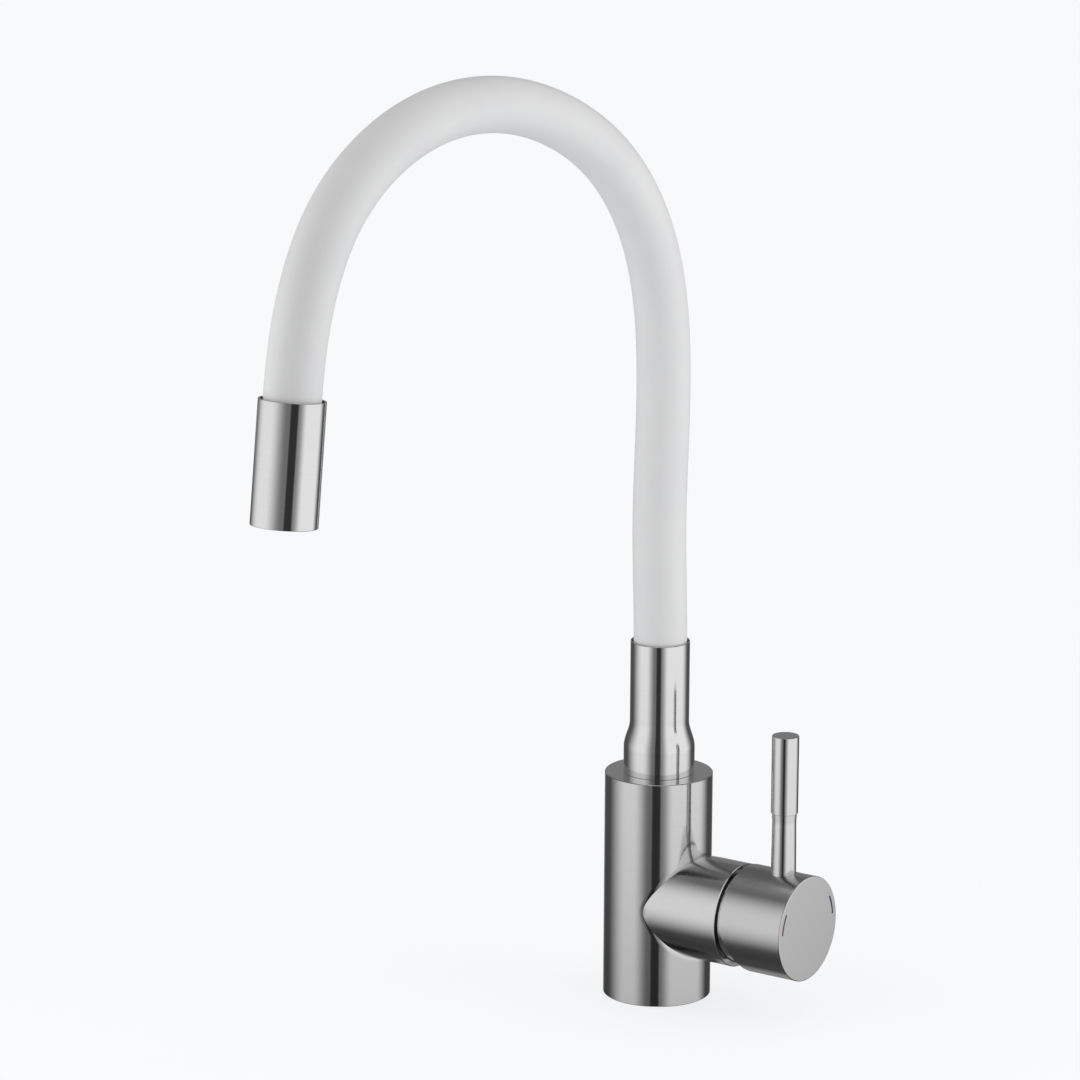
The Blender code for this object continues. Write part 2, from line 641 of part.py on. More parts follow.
def make_base_seal():
    """The seal ring in the groove under the body, flush with the deck."""
    return ring("base_seal", RUBBER, SEAL_GROOVE_OUTER - GAP, SEAL_GROOVE_INNER + GAP,
                0.0, SEAL_GROOVE_DEPTH - GAP, sides=COLLAR_SIDES)


def port_rods(name, back, front, radius):
    """Cutters for the three ports, from one distance along the branch to another."""
    rods = []
    for port, angle in PORT_ANGLES.items():
        centre = flat(PORT_CIRCLE_RADIUS, math.radians(angle))
        start, end = centre + Vector((back, 0.0, 0.0)), centre + Vector((front, 0.0, 0.0))
        rods.append(rod(f"{name}_{port}_cutter", start, end, radius))
    return rods


def make_cartridge_base():
    """The cartridge's base, with its ports, seal seats and locating pegs, and the three port seals."""
    profile = [
        (0.0, CARTRIDGE_BASE_FRONT), (CARTRIDGE_RADIUS, CARTRIDGE_BASE_FRONT),
        (CARTRIDGE_RADIUS, CARTRIDGE_BASE_BACK), (0.0, CARTRIDGE_BASE_BACK),
    ]
    base = turned("cartridge_base", PLASTIC, profile, BRANCH_FRAME)
    pegs = []
    for angle in PEG_ANGLES:
        peg = flat(PEG_CIRCLE_RADIUS, math.radians(angle))
        start = peg + Vector((SEAT_OFFSET - PEG_LENGTH + GAP, 0.0, 0.0))
        end = peg + Vector((CARTRIDGE_BASE_BACK + PEG_RADIUS, 0.0, 0.0))
        pegs.append(rod("peg_guide", start, end, PEG_RADIUS))
    join(base, *pegs)
    seat_radius = PORT_RADIUS + PORT_SEAL_WIDTH + 2 * GAP
    seat_floor = CARTRIDGE_BASE_BACK + PORT_SEAL_DEPTH
    cut(base, *port_rods("base_port", CARTRIDGE_BASE_BACK - CUT, CARTRIDGE_BASE_FRONT + CUT, PORT_RADIUS),
        *port_rods("seal_seat", CARTRIDGE_BASE_BACK - CUT, seat_floor, seat_radius))
    seals = []
    for port, angle in PORT_ANGLES.items():
        frame = Matrix.Translation(flat(PORT_CIRCLE_RADIUS, math.radians(angle)) - BRANCH_AXIS) @ BRANCH_FRAME
        seals.append(ring(
            "port_seal_" + port, RUBBER, seat_radius - GAP, PORT_RADIUS + GAP,
            SEAT_OFFSET + GAP, seat_floor - GAP, frame, HOLE_SIDES))
    return [base, *seals]


def make_discs():
    """The fixed ceramic disc, the moving one with its mixing pocket, and the carrier that slides it."""
    fixed_profile = [
        (0.0, FIXED_DISC_BACK + DISC_THICKNESS), (FIXED_DISC_RADIUS, FIXED_DISC_BACK + DISC_THICKNESS),
        (FIXED_DISC_RADIUS, FIXED_DISC_BACK), (0.0, FIXED_DISC_BACK),
    ]
    fixed = turned("fixed_ceramic_disc", CERAMIC, fixed_profile, BRANCH_FRAME)
    port_back, port_front = FIXED_DISC_BACK - CUT, FIXED_DISC_BACK + DISC_THICKNESS + CUT
    cut(fixed, *port_rods("disc_port", port_back, port_front, PORT_RADIUS))

    dropped = Matrix.Translation(Vector((0.0, 0.0, -MOVING_DISC_DROP))) @ BRANCH_FRAME
    front = MOVING_DISC_BACK + DISC_THICKNESS
    pocket_roof = MOVING_DISC_BACK + MIXING_POCKET_DEPTH
    moving_profile = [
        (0.0, front), (MOVING_DISC_RADIUS, front), (MOVING_DISC_RADIUS, MOVING_DISC_BACK),
        (MIXING_POCKET_RADIUS, MOVING_DISC_BACK), (MIXING_POCKET_RADIUS, pocket_roof), (0.0, pocket_roof),
    ]
    moving = turned("moving_ceramic_disc", CERAMIC, moving_profile, dropped)

    carrier_front = DISC_CARRIER_BACK + DISC_CARRIER_THICKNESS
    carrier_profile = [
        (0.0, carrier_front), (MOVING_DISC_RADIUS, carrier_front), (MOVING_DISC_RADIUS, DISC_CARRIER_BACK),
        (0.0, DISC_CARRIER_BACK),
    ]
    carrier = turned("disc_carrier", PLASTIC, carrier_profile, dropped)
    socket_floor = BRANCH_AXIS + Vector((carrier_front - BALL_SOCKET_DEPTH, 0.0, 0.0))
    socket_mouth = BRANCH_AXIS + Vector((carrier_front + CUT, 0.0, 0.0))
    cut(carrier, rod("ball_socket_cutter", socket_floor, socket_mouth, SPINDLE_BALL_RADIUS + BALL_CLEARANCE))
    return fixed, moving, carrier


def make_cartridge_housing():
    """The cartridge's housing, a cup whose front wall holds the spindle carrier's neck."""
    opening = CARRIER_NECK_RADIUS + RUN_CLEARANCE
    profile = [
        (opening, HOUSING_FRONT), (CARTRIDGE_RADIUS, HOUSING_FRONT), (CARTRIDGE_RADIUS, HOUSING_BACK),
        (HOUSING_BORE, HOUSING_BACK), (HOUSING_BORE, HOUSING_FRONT - HOUSING_FRONT_WALL),
        (opening, HOUSING_FRONT - HOUSING_FRONT_WALL),
    ]
    return turned("cartridge_housing", PLASTIC, profile, BRANCH_FRAME)


def make_spindle_carrier():
    """The carrier that turns with the lever, slotted for the spindle, and the tilt pin through it."""
    back = SPINDLE_CARRIER_BACK
    shoulder = back + CARRIER_HEAD_LENGTH
    front = back + CARRIER_LENGTH
    head_radius = HOUSING_BORE - RUN_CLEARANCE
    profile = [
        (0.0, front), (CARRIER_NECK_RADIUS, front), (CARRIER_NECK_RADIUS, shoulder), (head_radius, shoulder),
        (head_radius, back), (0.0, back),
    ]
    carrier = turned("spindle_carrier", PLASTIC, profile, BRANCH_FRAME)
    sweep = math.sin(TILT_LIMIT)
    half_width = SPINDLE_WIDTH / 2 + GAP
    tail_rise = SPINDLE_SQUARE_TAIL * sweep + SPINDLE_WIDTH / 2 + 2 * GAP
    rod_half = SPINDLE_BALL_RADIUS + 2 * BALL_CLEARANCE
    rod_rise = SPINDLE_BALL_ARM * sweep + rod_half + BALL_CLEARANCE
    neck_slot = block(
        "neck_slot_cutter", (shoulder - CUT, -half_width, BRANCH_HEIGHT - tail_rise),
        (front + CUT, half_width, BRANCH_HEIGHT + tail_rise))
    rod_slot = block(
        "rod_slot_cutter", (back - CUT, -rod_half, BRANCH_HEIGHT - rod_half),
        (shoulder, rod_half, BRANCH_HEIGHT + rod_rise))
    half_pin = Vector((0.0, TILT_PIN_LENGTH / 2, 0.0))
    half_hole = half_pin + Vector((0.0, CUT, 0.0))
    pin_hole = rod("carrier_pin_cutter", PIVOT - half_hole, PIVOT + half_hole, TILT_PIN_RADIUS + GAP)
    cut(carrier, neck_slot, rod_slot, pin_hole)
    pin = rod("tilt_pin", PIVOT - half_pin, PIVOT + half_pin, TILT_PIN_RADIUS, SPRING_STEEL, HOLE_SIDES)
    return carrier, settle(pin)


def make_spindle():
    """The spindle: a square bar on the tilt pin, with a rod and a ball that push the disc carrier."""
    half = SPINDLE_WIDTH / 2
    tail = PIVOT_OFFSET - SPINDLE_SQUARE_TAIL
    tip = CAP_FLOOR + CAP_SOCKET_DEPTH - GAP
    spindle = block("spindle", (tail, -half, BRANCH_HEIGHT - half), (tip, half, BRANCH_HEIGHT + half), BRASS)
    ball_centre = PIVOT - Vector((SPINDLE_BALL_ARM, 0.0, 0.0))
    rod_end = Vector((tail + SPINDLE_ROD_RADIUS, 0.0, BRANCH_HEIGHT))
    rod_guide = rod("spindle_rod_guide", ball_centre, rod_end, SPINDLE_ROD_RADIUS)
    mesh = bpy.data.meshes.new("spindle_ball_guide")
    ball = bmesh.new()
    bmesh.ops.create_uvsphere(ball, u_segments=BALL_SIDES, v_segments=BALL_RINGS, radius=SPINDLE_BALL_RADIUS)
    ball.to_mesh(mesh)
    ball.free()
    ball_guide = add_object("spindle_ball_guide", mesh, None, Matrix.Translation(ball_centre))
    join(spindle, rod_guide, ball_guide)
    across = Vector((0.0, half + CUT, 0.0))
    return cut(spindle, rod("spindle_pin_cutter", PIVOT - across, PIVOT + across, TILT_PIN_RADIUS + GAP))


def make_cartridge_nut():
    """The ring nut that clamps the cartridge, with its spanner slots."""
    front = NUT_BACK + NUT_THICKNESS
    nut = ring("cartridge_nut", BRASS, NUT_RADIUS, NUT_OPENING_RADIUS, NUT_BACK, front, BRANCH_FRAME)
    half = NUT_SLOT_WIDTH / 2
    slots = []
    for index in range(NUT_SLOTS // 2):
        frame = BRANCH_FRAME @ Matrix.Rotation(math.pi * (index + 0.5) * 2 / NUT_SLOTS, 4, "Z")
        low = (-NUT_RADIUS - CUT, -half, front - NUT_SLOT_DEPTH)
        slots.append(block("nut_slot_cutter", low, (NUT_RADIUS + CUT, half, front + CUT), None, frame))
    return cut(nut, *slots)


def make_collar_ring():
    """The domed ring in the gap behind the cap, part of a ball round the pivot, with a short skirt."""
    back = BRANCH_REACH + GAP
    inner_radius = COLLAR_RADIUS - COLLAR_WALL
    skirt_outer = NUT_RADIUS
    skirt_inner = NUT_RADIUS - COLLAR_WALL
    step = back + COLLAR_WALL
    centre = (0.0, PIVOT_OFFSET)
    outer = arc_points(COLLAR_RADIUS, math.asin(COLLAR_FRONT / COLLAR_RADIUS),
                       math.asin((back - PIVOT_OFFSET) / COLLAR_RADIUS), COLLAR_STEPS, centre)
    inner = arc_points(inner_radius, math.asin((step - PIVOT_OFFSET) / inner_radius),
                       math.asin(COLLAR_FRONT / inner_radius), COLLAR_STEPS, centre)
    skirt = [
        (skirt_outer, back), (skirt_outer, back - COLLAR_SKIRT), (skirt_inner, back - COLLAR_SKIRT),
        (skirt_inner, step),
    ]
    return turned("collar_ring", STEEL, [*outer, *skirt, *inner], BRANCH_FRAME, COLLAR_SIDES)


def mark_outline(side, grow):
    """The outline of a curved mark near the edge of the cap's face, in the face's own plane."""
    half_width = MARK_WIDTH / 2 + grow
    half_angle = MARK_HALF_ANGLE + grow / MARK_RADIUS
    first, last = MARK_CENTRE_ANGLE - half_angle, MARK_CENTRE_ANGLE + half_angle
    outline = arc_points(MARK_RADIUS + half_width, first, last, MARK_STEPS)
    outline += arc_points(MARK_RADIUS - half_width, last, first, MARK_STEPS)
    return [(side * across, up) for across, up in outline]


def make_handle_cap():
    """The cap, cut back at the bottom of its rear edge so that it can tilt, and the two marks on its face."""
    bore = CAP_RADIUS - CAP_WALL
    profile = [
        (0.0, CAP_FACE), (CAP_RADIUS - CAP_EDGE, CAP_FACE), (CAP_RADIUS, CAP_FACE - CAP_EDGE),
        (CAP_RADIUS, CAP_MOUTH), (bore, CAP_MOUTH), (bore, CAP_FLOOR), (0.0, CAP_FLOOR),
    ]
    cap = turned("handle_cap", STEEL, profile, BRANCH_FRAME, CAP_SIDES)

    depth = CAP_RADIUS + CUT
    relief_frame = Matrix.Translation(Vector((CAP_MOUTH, 0.0, BRANCH_HEIGHT)))
    relief_frame = relief_frame @ Matrix.Rotation(-CAP_RELIEF, 4, "Y")
    relief = block("relief_cutter", (-depth, -depth, -2 * depth), (0.0, depth, 0.0), None, relief_frame)
    half = SPINDLE_WIDTH / 2 + GAP
    socket = block(
        "spindle_socket_cutter", (CAP_FLOOR - CUT, -half, BRANCH_HEIGHT - half),
        (CAP_FLOOR + CAP_SOCKET_DEPTH, half, BRANCH_HEIGHT + half))
    pin_axis = Vector((PIN_OFFSET, 0.0, BRANCH_HEIGHT))
    thread_floor = pin_axis + Vector((0.0, 0.0, CAP_RADIUS - PIN_THREAD_LENGTH))
    thread_mouth = pin_axis + Vector((0.0, 0.0, depth))
    thread_hole = rod("pin_hole_cutter", thread_floor, thread_mouth, PIN_THREAD_RADIUS + GAP)
    grub_hole = rod("grub_hole_cutter", pin_axis, thread_floor + Vector((0.0, 0.0, GAP)), GRUB_RADIUS + GAP)
    cut(cap, relief, socket, thread_hole, grub_hole)

    face = Matrix.Translation(Vector((CAP_FACE, 0.0, BRANCH_HEIGHT)))
    face = face @ Matrix(((0, 0, 1, 0), (1, 0, 0, 0), (0, 1, 0, 0), (0, 0, 0, 1)))
    sunk = Matrix.Translation(Vector((-MARK_THICKNESS / 2, 0.0, 0.0)))
    marks = []
    for name, side, material in (("hot_mark", -1, RED_ENAMEL), ("cold_mark", 1, BLUE_ENAMEL)):
        groove = plate(name + "_groove_cutter", mark_outline(side, GAP), 2 * MARK_GROOVE_DEPTH, None, face)
        cut(cap, groove)
        marks.append(plate(name, mark_outline(side, 0.0), MARK_THICKNESS, material, sunk @ face))
    return [cap, *marks]


def make_lever_pin():
    """The lever pin, saddled on the cap, with its threaded end, and the grub screw under it."""
    foot = BRANCH_HEIGHT + CAP_RADIUS
    sunk_foot = foot - PIN_FOOT_RADIUS
    frame = Matrix.Translation(Vector((PIN_OFFSET, 0.0, 0.0)))
    profile = [
        (0.0, PIN_TOP), (PIN_GRIP_RADIUS - PIN_EDGE, PIN_TOP), (PIN_GRIP_RADIUS, PIN_TOP - PIN_EDGE),
        (PIN_GRIP_RADIUS, PIN_STEP), (PIN_STEM_RADIUS, PIN_STEP - PIN_STEP_LENGTH), (PIN_FOOT_RADIUS, foot),
        (PIN_FOOT_RADIUS, sunk_foot), (0.0, sunk_foot),
    ]
    pin = turned("lever_pin", STEEL, profile, frame, PIN_SIDES)
    reach = Vector((PIN_FOOT_RADIUS + CUT, 0.0, 0.0))
    axis = Vector((PIN_OFFSET, 0.0, BRANCH_HEIGHT))
    cut(pin, rod("saddle_cutter", axis - reach, axis + reach, CAP_RADIUS + GAP, sides=CAP_SIDES * 2))
    thread_end = Vector((PIN_OFFSET, 0.0, foot - PIN_THREAD_LENGTH + GAP))
    join(pin, rod("pin_thread_guide", thread_end, Vector((PIN_OFFSET, 0.0, foot + CUT)), PIN_THREAD_RADIUS))

    seat = BRANCH_HEIGHT + SPINDLE_WIDTH / 2 + GAP
    top = seat + GRUB_LENGTH
    grub = rod("grub_screw", Vector((PIN_OFFSET, 0.0, seat)), Vector((PIN_OFFSET, 0.0, top)), GRUB_RADIUS,
               SPRING_STEEL)
    key_floor = Vector((PIN_OFFSET, 0.0, top - GRUB_KEY_DEPTH))
    key = rod("grub_key_cutter", key_floor, Vector((PIN_OFFSET, 0.0, top + CUT)),
              GRUB_KEY_WIDTH / math.sqrt(3), sides=6)
    return pin, cut(grub, key)


def make_swivel():
    """The spigot that the spout turns on, its two O-rings, the split clip and the slip washer."""
    bottom = SPIGOT_BOTTOM
    groove_radius = SPIGOT_RADIUS - O_RING_GROOVE_DEPTH
    clip_groove_radius = SPIGOT_RADIUS - CLIP_GROOVE_DEPTH
    clip_bottom = CLIP_BOTTOM
    clip_top = clip_bottom + CLIP_THICKNESS
    socket_floor = SPIGOT_TOP - SPIGOT_SOCKET_DEPTH
    profile = [
        (SPIGOT_SOCKET_RADIUS, SPIGOT_TOP), (SPIGOT_HEAD_RADIUS, SPIGOT_TOP),
        (SPIGOT_HEAD_RADIUS, SPIGOT_HEAD_BOTTOM), (SPIGOT_RADIUS, SPIGOT_HEAD_BOTTOM),
        (SPIGOT_RADIUS, clip_top + GAP), (clip_groove_radius, clip_top + GAP),
        (clip_groove_radius, clip_bottom - GAP), (SPIGOT_RADIUS, clip_bottom - GAP),
    ]
    rings = []
    section = (O_RING_GROOVE_DEPTH - GAP) / 2
    for name, share in sorted(O_RING_HEIGHT_SHARES.items(), key=lambda item: -item[1]):
        centre = bottom + share * SPIGOT_DEPTH
        half = O_RING_GROOVE_WIDTH / 2
        profile += [
            (SPIGOT_RADIUS, centre + half), (groove_radius, centre + half),
            (groove_radius, centre - half), (SPIGOT_RADIUS, centre - half),
        ]
        loop = arc_points(section, math.pi / 2, -1.5 * math.pi, O_RING_SECTION_SIDES,
                          (groove_radius + GAP + section, centre))
        rings.append(turned("o_ring_" + name, RUBBER, loop[:-1]))
    profile += [(SPIGOT_RADIUS, bottom), (SPIGOT_WAY_RADIUS, bottom), (SPIGOT_WAY_RADIUS, socket_floor),
                (SPIGOT_SOCKET_RADIUS, socket_floor)]
    spigot = turned("swivel_spigot", BRASS, profile)

    clip_outer = SPIGOT_BORE_RADIUS + CLIP_GROOVE_DEPTH - GAP
    clip = ring("retaining_clip", SPRING_STEEL, clip_outer, clip_groove_radius + GAP, clip_bottom, clip_top)
    split = clip_outer * math.tan(CLIP_SPLIT / 2)
    low, high = (-split, 0.0, clip_bottom - CUT), (split, clip_outer + CUT, clip_top + CUT)
    cut(clip, block("clip_split_cutter", low, high))

    washer_bottom = BODY_HEIGHT + GAP
    washer = ring("slip_washer", WHITE_PLASTIC, SLIP_WASHER_RADIUS, NECK_BORE_RADIUS,
                  washer_bottom, washer_bottom + SLIP_WASHER_THICKNESS)
    return spigot, rings, clip, washer


def make_neck():
    """The bell-shaped neck: a wide foot, an S-curved shoulder and a thin-walled cup round the hose."""
    shoulder = []
    for step in range(NECK_SHOULDER_STEPS + 1):
        part = step / NECK_SHOULDER_STEPS
        blend = (1 - math.cos(math.pi * part)) / 2
        radius = NECK_CUP_RADIUS + (NECK_FOOT_RADIUS - NECK_CUP_RADIUS) * blend
        shoulder.append((radius, NECK_SHOULDER_TOP + (NECK_SHOULDER_BOTTOM - NECK_SHOULDER_TOP) * part))
    profile = [
        (NECK_BORE_RADIUS, NECK_TOP), (NECK_CUP_RADIUS, NECK_TOP), *shoulder,
        (NECK_FOOT_RADIUS, NECK_BOTTOM), (NECK_BORE_RADIUS, NECK_BOTTOM),
    ]
    return turned("neck", STEEL, profile, sides=NECK_SIDES)


def ferrule(name, frame, plug_length):
    """A hose end: a plug, a flange under the sleeve and a barbed nipple for the water tube.

    The frame's origin is the flange's upper face and its +Z points into the hose.
    """
    way = NIPPLE_RADIUS - NIPPLE_WALL
    root = NIPPLE_RADIUS - NIPPLE_BARB_HEIGHT
    barb = NIPPLE_LENGTH / (NIPPLE_BARBS + 1)
    profile = [(way, NIPPLE_LENGTH), (root, NIPPLE_LENGTH)]
    for index in range(NIPPLE_BARBS):
        edge = NIPPLE_LENGTH - barb * (index + 1)
        profile += [(NIPPLE_RADIUS, edge), (root, edge)]
    profile += [
        (root, 0.0), (FERRULE_FLANGE_RADIUS, 0.0), (FERRULE_FLANGE_RADIUS, -FERRULE_FLANGE_THICKNESS),
        (FERRULE_PLUG_RADIUS, -FERRULE_FLANGE_THICKNESS),
        (FERRULE_PLUG_RADIUS, -FERRULE_FLANGE_THICKNESS - plug_length),
        (way, -FERRULE_FLANGE_THICKNESS - plug_length),
    ]
    return turned(name, BRASS, profile, frame, SMALL_SIDES)


def make_hose():
    """The sleeve, the water tube and the gooseneck, which is made in lengths that meet at the bends."""
    sleeve = settle(hose_rod("hose_sleeve", ROUTE.stretch(0.0, ROUTE.length), HOSE_RADIUS, SLEEVE_STEPS, True,
                             SILICONE))
    past = Vector((0.0, 0.0, CUT))
    bore_points = ROUTE.stretch(0.0, ROUTE.length)
    bore_points[0] -= past
    bore_points[-1] -= past
    bore = hose_rod("sleeve_bore_cutter", bore_points, HOSE_RADIUS - SLEEVE_WALL, SLEEVE_BORE_STEPS, True)
    cut(sleeve, settle(bore))
    tube = hose_tube("water_tube", TUBE_PLASTIC, ROUTE.stretch(0.0, ROUTE.length), WATER_TUBE_RADIUS,
                     WATER_TUBE_WALL, WATER_TUBE_STEPS)
    lengths = []
    starts = [0.0] + [bend + BEND_GAP / 2 for bend in BENDS]
    ends = [bend - BEND_GAP / 2 for bend in BENDS] + [ROUTE.length]
    for index, (start, end) in enumerate(zip(starts, ends)):
        points = ROUTE.stretch(start, end, BEND_END_LENGTH)
        lengths.append(hose_tube(f"gooseneck_{index + 1}", SPRING_STEEL, points, GOOSENECK_RADIUS,
                                 GOOSENECK_WALL, GOOSENECK_STEPS))
    return sleeve, tube, lengths


def grille_centres():
    """The centres of the honeycomb's cells, ring by ring."""
    centres = []
    for row in range(-GRILLE_RINGS, GRILLE_RINGS + 1):
        cells = 2 * GRILLE_RINGS + 1 - abs(row)
        for index in range(cells):
            across = (index - (cells - 1) / 2) * GRILLE_CELL
            centres.append((across, row * GRILLE_CELL * math.sqrt(3) / 2))
    return centres


def hole_cutter(name, centres, radius, sides, bottom, top, frame):
    """One cutter that holds an upright prism at each centre."""
    mesh = bpy.data.meshes.new(name)
    shape = bmesh.new()
    for across, along in centres:
        place = Matrix.Translation(Vector((across, along, (bottom + top) / 2)))
        bmesh.ops.create_cone(shape, cap_ends=True, segments=sides, radius1=radius, radius2=radius,
                              depth=top - bottom, matrix=place)
    shape.to_mesh(mesh)
    shape.free()
    return add_object(name, mesh, None, frame)


def make_head():
    """The head: its shell, the adapter that carries it, and the aerator. Heights run down from the rim."""
    ledge = -HEAD_LEDGE_DEPTH
    bottom = -HEAD_LENGTH
    bore = HEAD_RADIUS - HEAD_WALL
    shell = turned("head_shell", STEEL, [
        (bore, 0.0), (HEAD_RADIUS, 0.0), (HEAD_RADIUS, bottom + HEAD_EDGE), (HEAD_RADIUS - HEAD_EDGE, bottom),
        (HEAD_LOWER_BORE, bottom), (HEAD_LOWER_BORE, ledge), (bore, ledge),
    ], HEAD_FRAME, HEAD_SIDES)

    flange_top = -HEAD_HOSE_DEPTH - GAP
    turn_over = HEAD_FRAME @ Matrix.Translation(Vector((0.0, 0.0, flange_top)))
    upper = ferrule("ferrule_upper", turn_over, HEAD_PLUG_LENGTH)

    adapter_top = flange_top - FERRULE_FLANGE_THICKNESS - GAP
    shoulder = ledge + GAP
    adapter_bottom = adapter_top - ADAPTER_LENGTH
    plug_end = flange_top - FERRULE_FLANGE_THICKNESS - HEAD_PLUG_LENGTH
    washer_top = plug_end - GAP
    washer_bottom = washer_top - HOSE_WASHER_THICKNESS
    inner_ledge = washer_bottom - GAP
    lower_radius = HEAD_LOWER_BORE - GAP
    plug_bore = FERRULE_PLUG_RADIUS + GAP
    adapter = turned("head_adapter", BRASS, [
        (plug_bore, adapter_top), (ADAPTER_FLANGE_RADIUS, adapter_top), (ADAPTER_FLANGE_RADIUS, shoulder),
        (lower_radius, shoulder), (lower_radius, adapter_bottom), (ADAPTER_BORE_RADIUS, adapter_bottom),
        (ADAPTER_BORE_RADIUS, inner_ledge), (plug_bore, inner_ledge),
    ], HEAD_FRAME)
    hose_washer = ring("hose_washer", RUBBER, FERRULE_PLUG_RADIUS, ADAPTER_BORE_RADIUS,
                       washer_bottom, washer_top, HEAD_FRAME, SMALL_SIDES)

    seal_top = adapter_bottom - GAP
    seal_bottom = seal_top - AERATOR_SEAL_THICKNESS
    seal = ring("aerator_seal", RUBBER, lower_radius, AERATOR_SEAL_INNER, seal_bottom, seal_top, HEAD_FRAME,
                SMALL_SIDES)
    ring_top = seal_bottom - GAP
    ring_bottom = bottom + GAP
    well = lower_radius - AERATOR_WALL
    lip = well - AERATOR_LIP
    aerator_ring = turned("aerator_ring", STEEL, [
        (well, ring_top), (lower_radius, ring_top), (lower_radius, ring_bottom), (lip, ring_bottom),
        (lip, ring_bottom + AERATOR_LIP_HEIGHT), (well, ring_bottom + AERATOR_LIP_HEIGHT),
    ], HEAD_FRAME)

    disc_radius = well - GAP
    grille_bottom = ring_bottom + AERATOR_LIP_HEIGHT + GAP
    grille_top = grille_bottom + GRILLE_THICKNESS
    grille = turned("aerator_grille", WHITE_PLASTIC, [
        (0.0, grille_top), (disc_radius, grille_top), (disc_radius, grille_bottom), (0.0, grille_bottom),
    ], HEAD_FRAME)
    cell_radius = (GRILLE_CELL - GRILLE_WEB) / math.sqrt(3)
    cut(grille, hole_cutter("grille_cutter", grille_centres(), cell_radius, 6, grille_bottom - CUT,
                            grille_top + CUT, HEAD_FRAME))

    screen_bottom = grille_top + GAP
    screen_top = screen_bottom + SCREEN_THICKNESS
    screen = turned("flow_screen", SPRING_STEEL, [
        (0.0, screen_top), (disc_radius, screen_top), (disc_radius, screen_bottom), (0.0, screen_bottom),
    ], HEAD_FRAME, SMALL_SIDES)
    holes = []
    circles = ((SCREEN_INNER_CIRCLE, SCREEN_INNER_HOLES), (SCREEN_OUTER_CIRCLE, SCREEN_OUTER_HOLES))
    for radius, count in circles:
        holes += arc_points(radius, 0.0, 2 * math.pi * (1 - 1 / count), count - 1)
    cut(screen, hole_cutter("screen_cutter", holes, SCREEN_HOLE_RADIUS, 6, screen_bottom - CUT,
                            screen_top + CUT, HEAD_FRAME))
    return [shell, upper, adapter, hose_washer, seal, aerator_ring, grille, screen]


def add_joint(name, place, parent=None):
    """An empty on a joint's axis, under the joint that carries it."""
    empty = bpy.data.objects.new(name, None)
    FAUCET.objects.link(empty)
    empty.location = place
    if parent is not None:
        carry(parent, empty)
    return empty


def carry(joint, *pieces):
    """Put pieces under a joint's empty without moving them."""
    bpy.context.view_layer.update()
    for piece in pieces:
        piece.parent = joint
        piece.matrix_parent_inverse = joint.matrix_world.inverted()


def main():
    """Make every piece and hang the moving ones under their joints."""
    make_faucet_body()
    make_base_seal()
    make_cartridge_base()
    _, moving_disc, disc_carrier = make_discs()
    make_cartridge_housing()
    spindle_carrier, tilt_pin = make_spindle_carrier()
    spindle = make_spindle()
    make_cartridge_nut()
    make_collar_ring()
    cap_pieces = make_handle_cap()
    lever_pin, grub_screw = make_lever_pin()

    handle_turn = add_joint("handle_turn", PIVOT)
    carry(handle_turn, spindle_carrier, tilt_pin)
    handle_tilt = add_joint("handle_tilt", PIVOT, handle_turn)
    carry(handle_tilt, spindle, lever_pin, grub_screw, *cap_pieces)
    disc_slide = add_joint("disc_slide", BRANCH_AXIS + Vector((MOVING_DISC_BACK, 0.0, 0.0)), handle_turn)
    carry(disc_slide, moving_disc, disc_carrier)

    spigot, o_rings, _, _ = make_swivel()
    neck = make_neck()
    lower_frame = Matrix.Translation(Vector((0.0, 0.0, LOWER_FLANGE_TOP)))
    ferrule_lower = ferrule("ferrule_lower", lower_frame, FERRULE_PLUG_LENGTH)
    sleeve, tube, lengths = make_hose()
    spout_swivel = add_joint("spout_swivel", Vector((0.0, 0.0, BODY_HEIGHT)))
    carry(spout_swivel, spigot, *o_rings, neck, ferrule_lower, sleeve, tube, lengths[0])
    joint = spout_swivel
    for index, bend in enumerate(BENDS):
        joint = add_joint(f"hose_bend_{index + 1}", ROUTE.at(bend), joint)
        carry(joint, lengths[index + 1])
    carry(joint, *make_head())


main()
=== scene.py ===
"""The looks of a flexible kitchen faucet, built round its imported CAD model.

The frame is the CAD's own: metres, +Z up, and the origin at the centre of the body's base, on the deck.
The spout reaches out along -Y, and the lever's branch points along +X.
"""
from __future__ import annotations

import json
import logging
import math
from dataclasses import dataclass
from enum import Enum
from typing import Sequence

import bmesh
import bpy
import numpy as np
from mathutils import Matrix, Vector

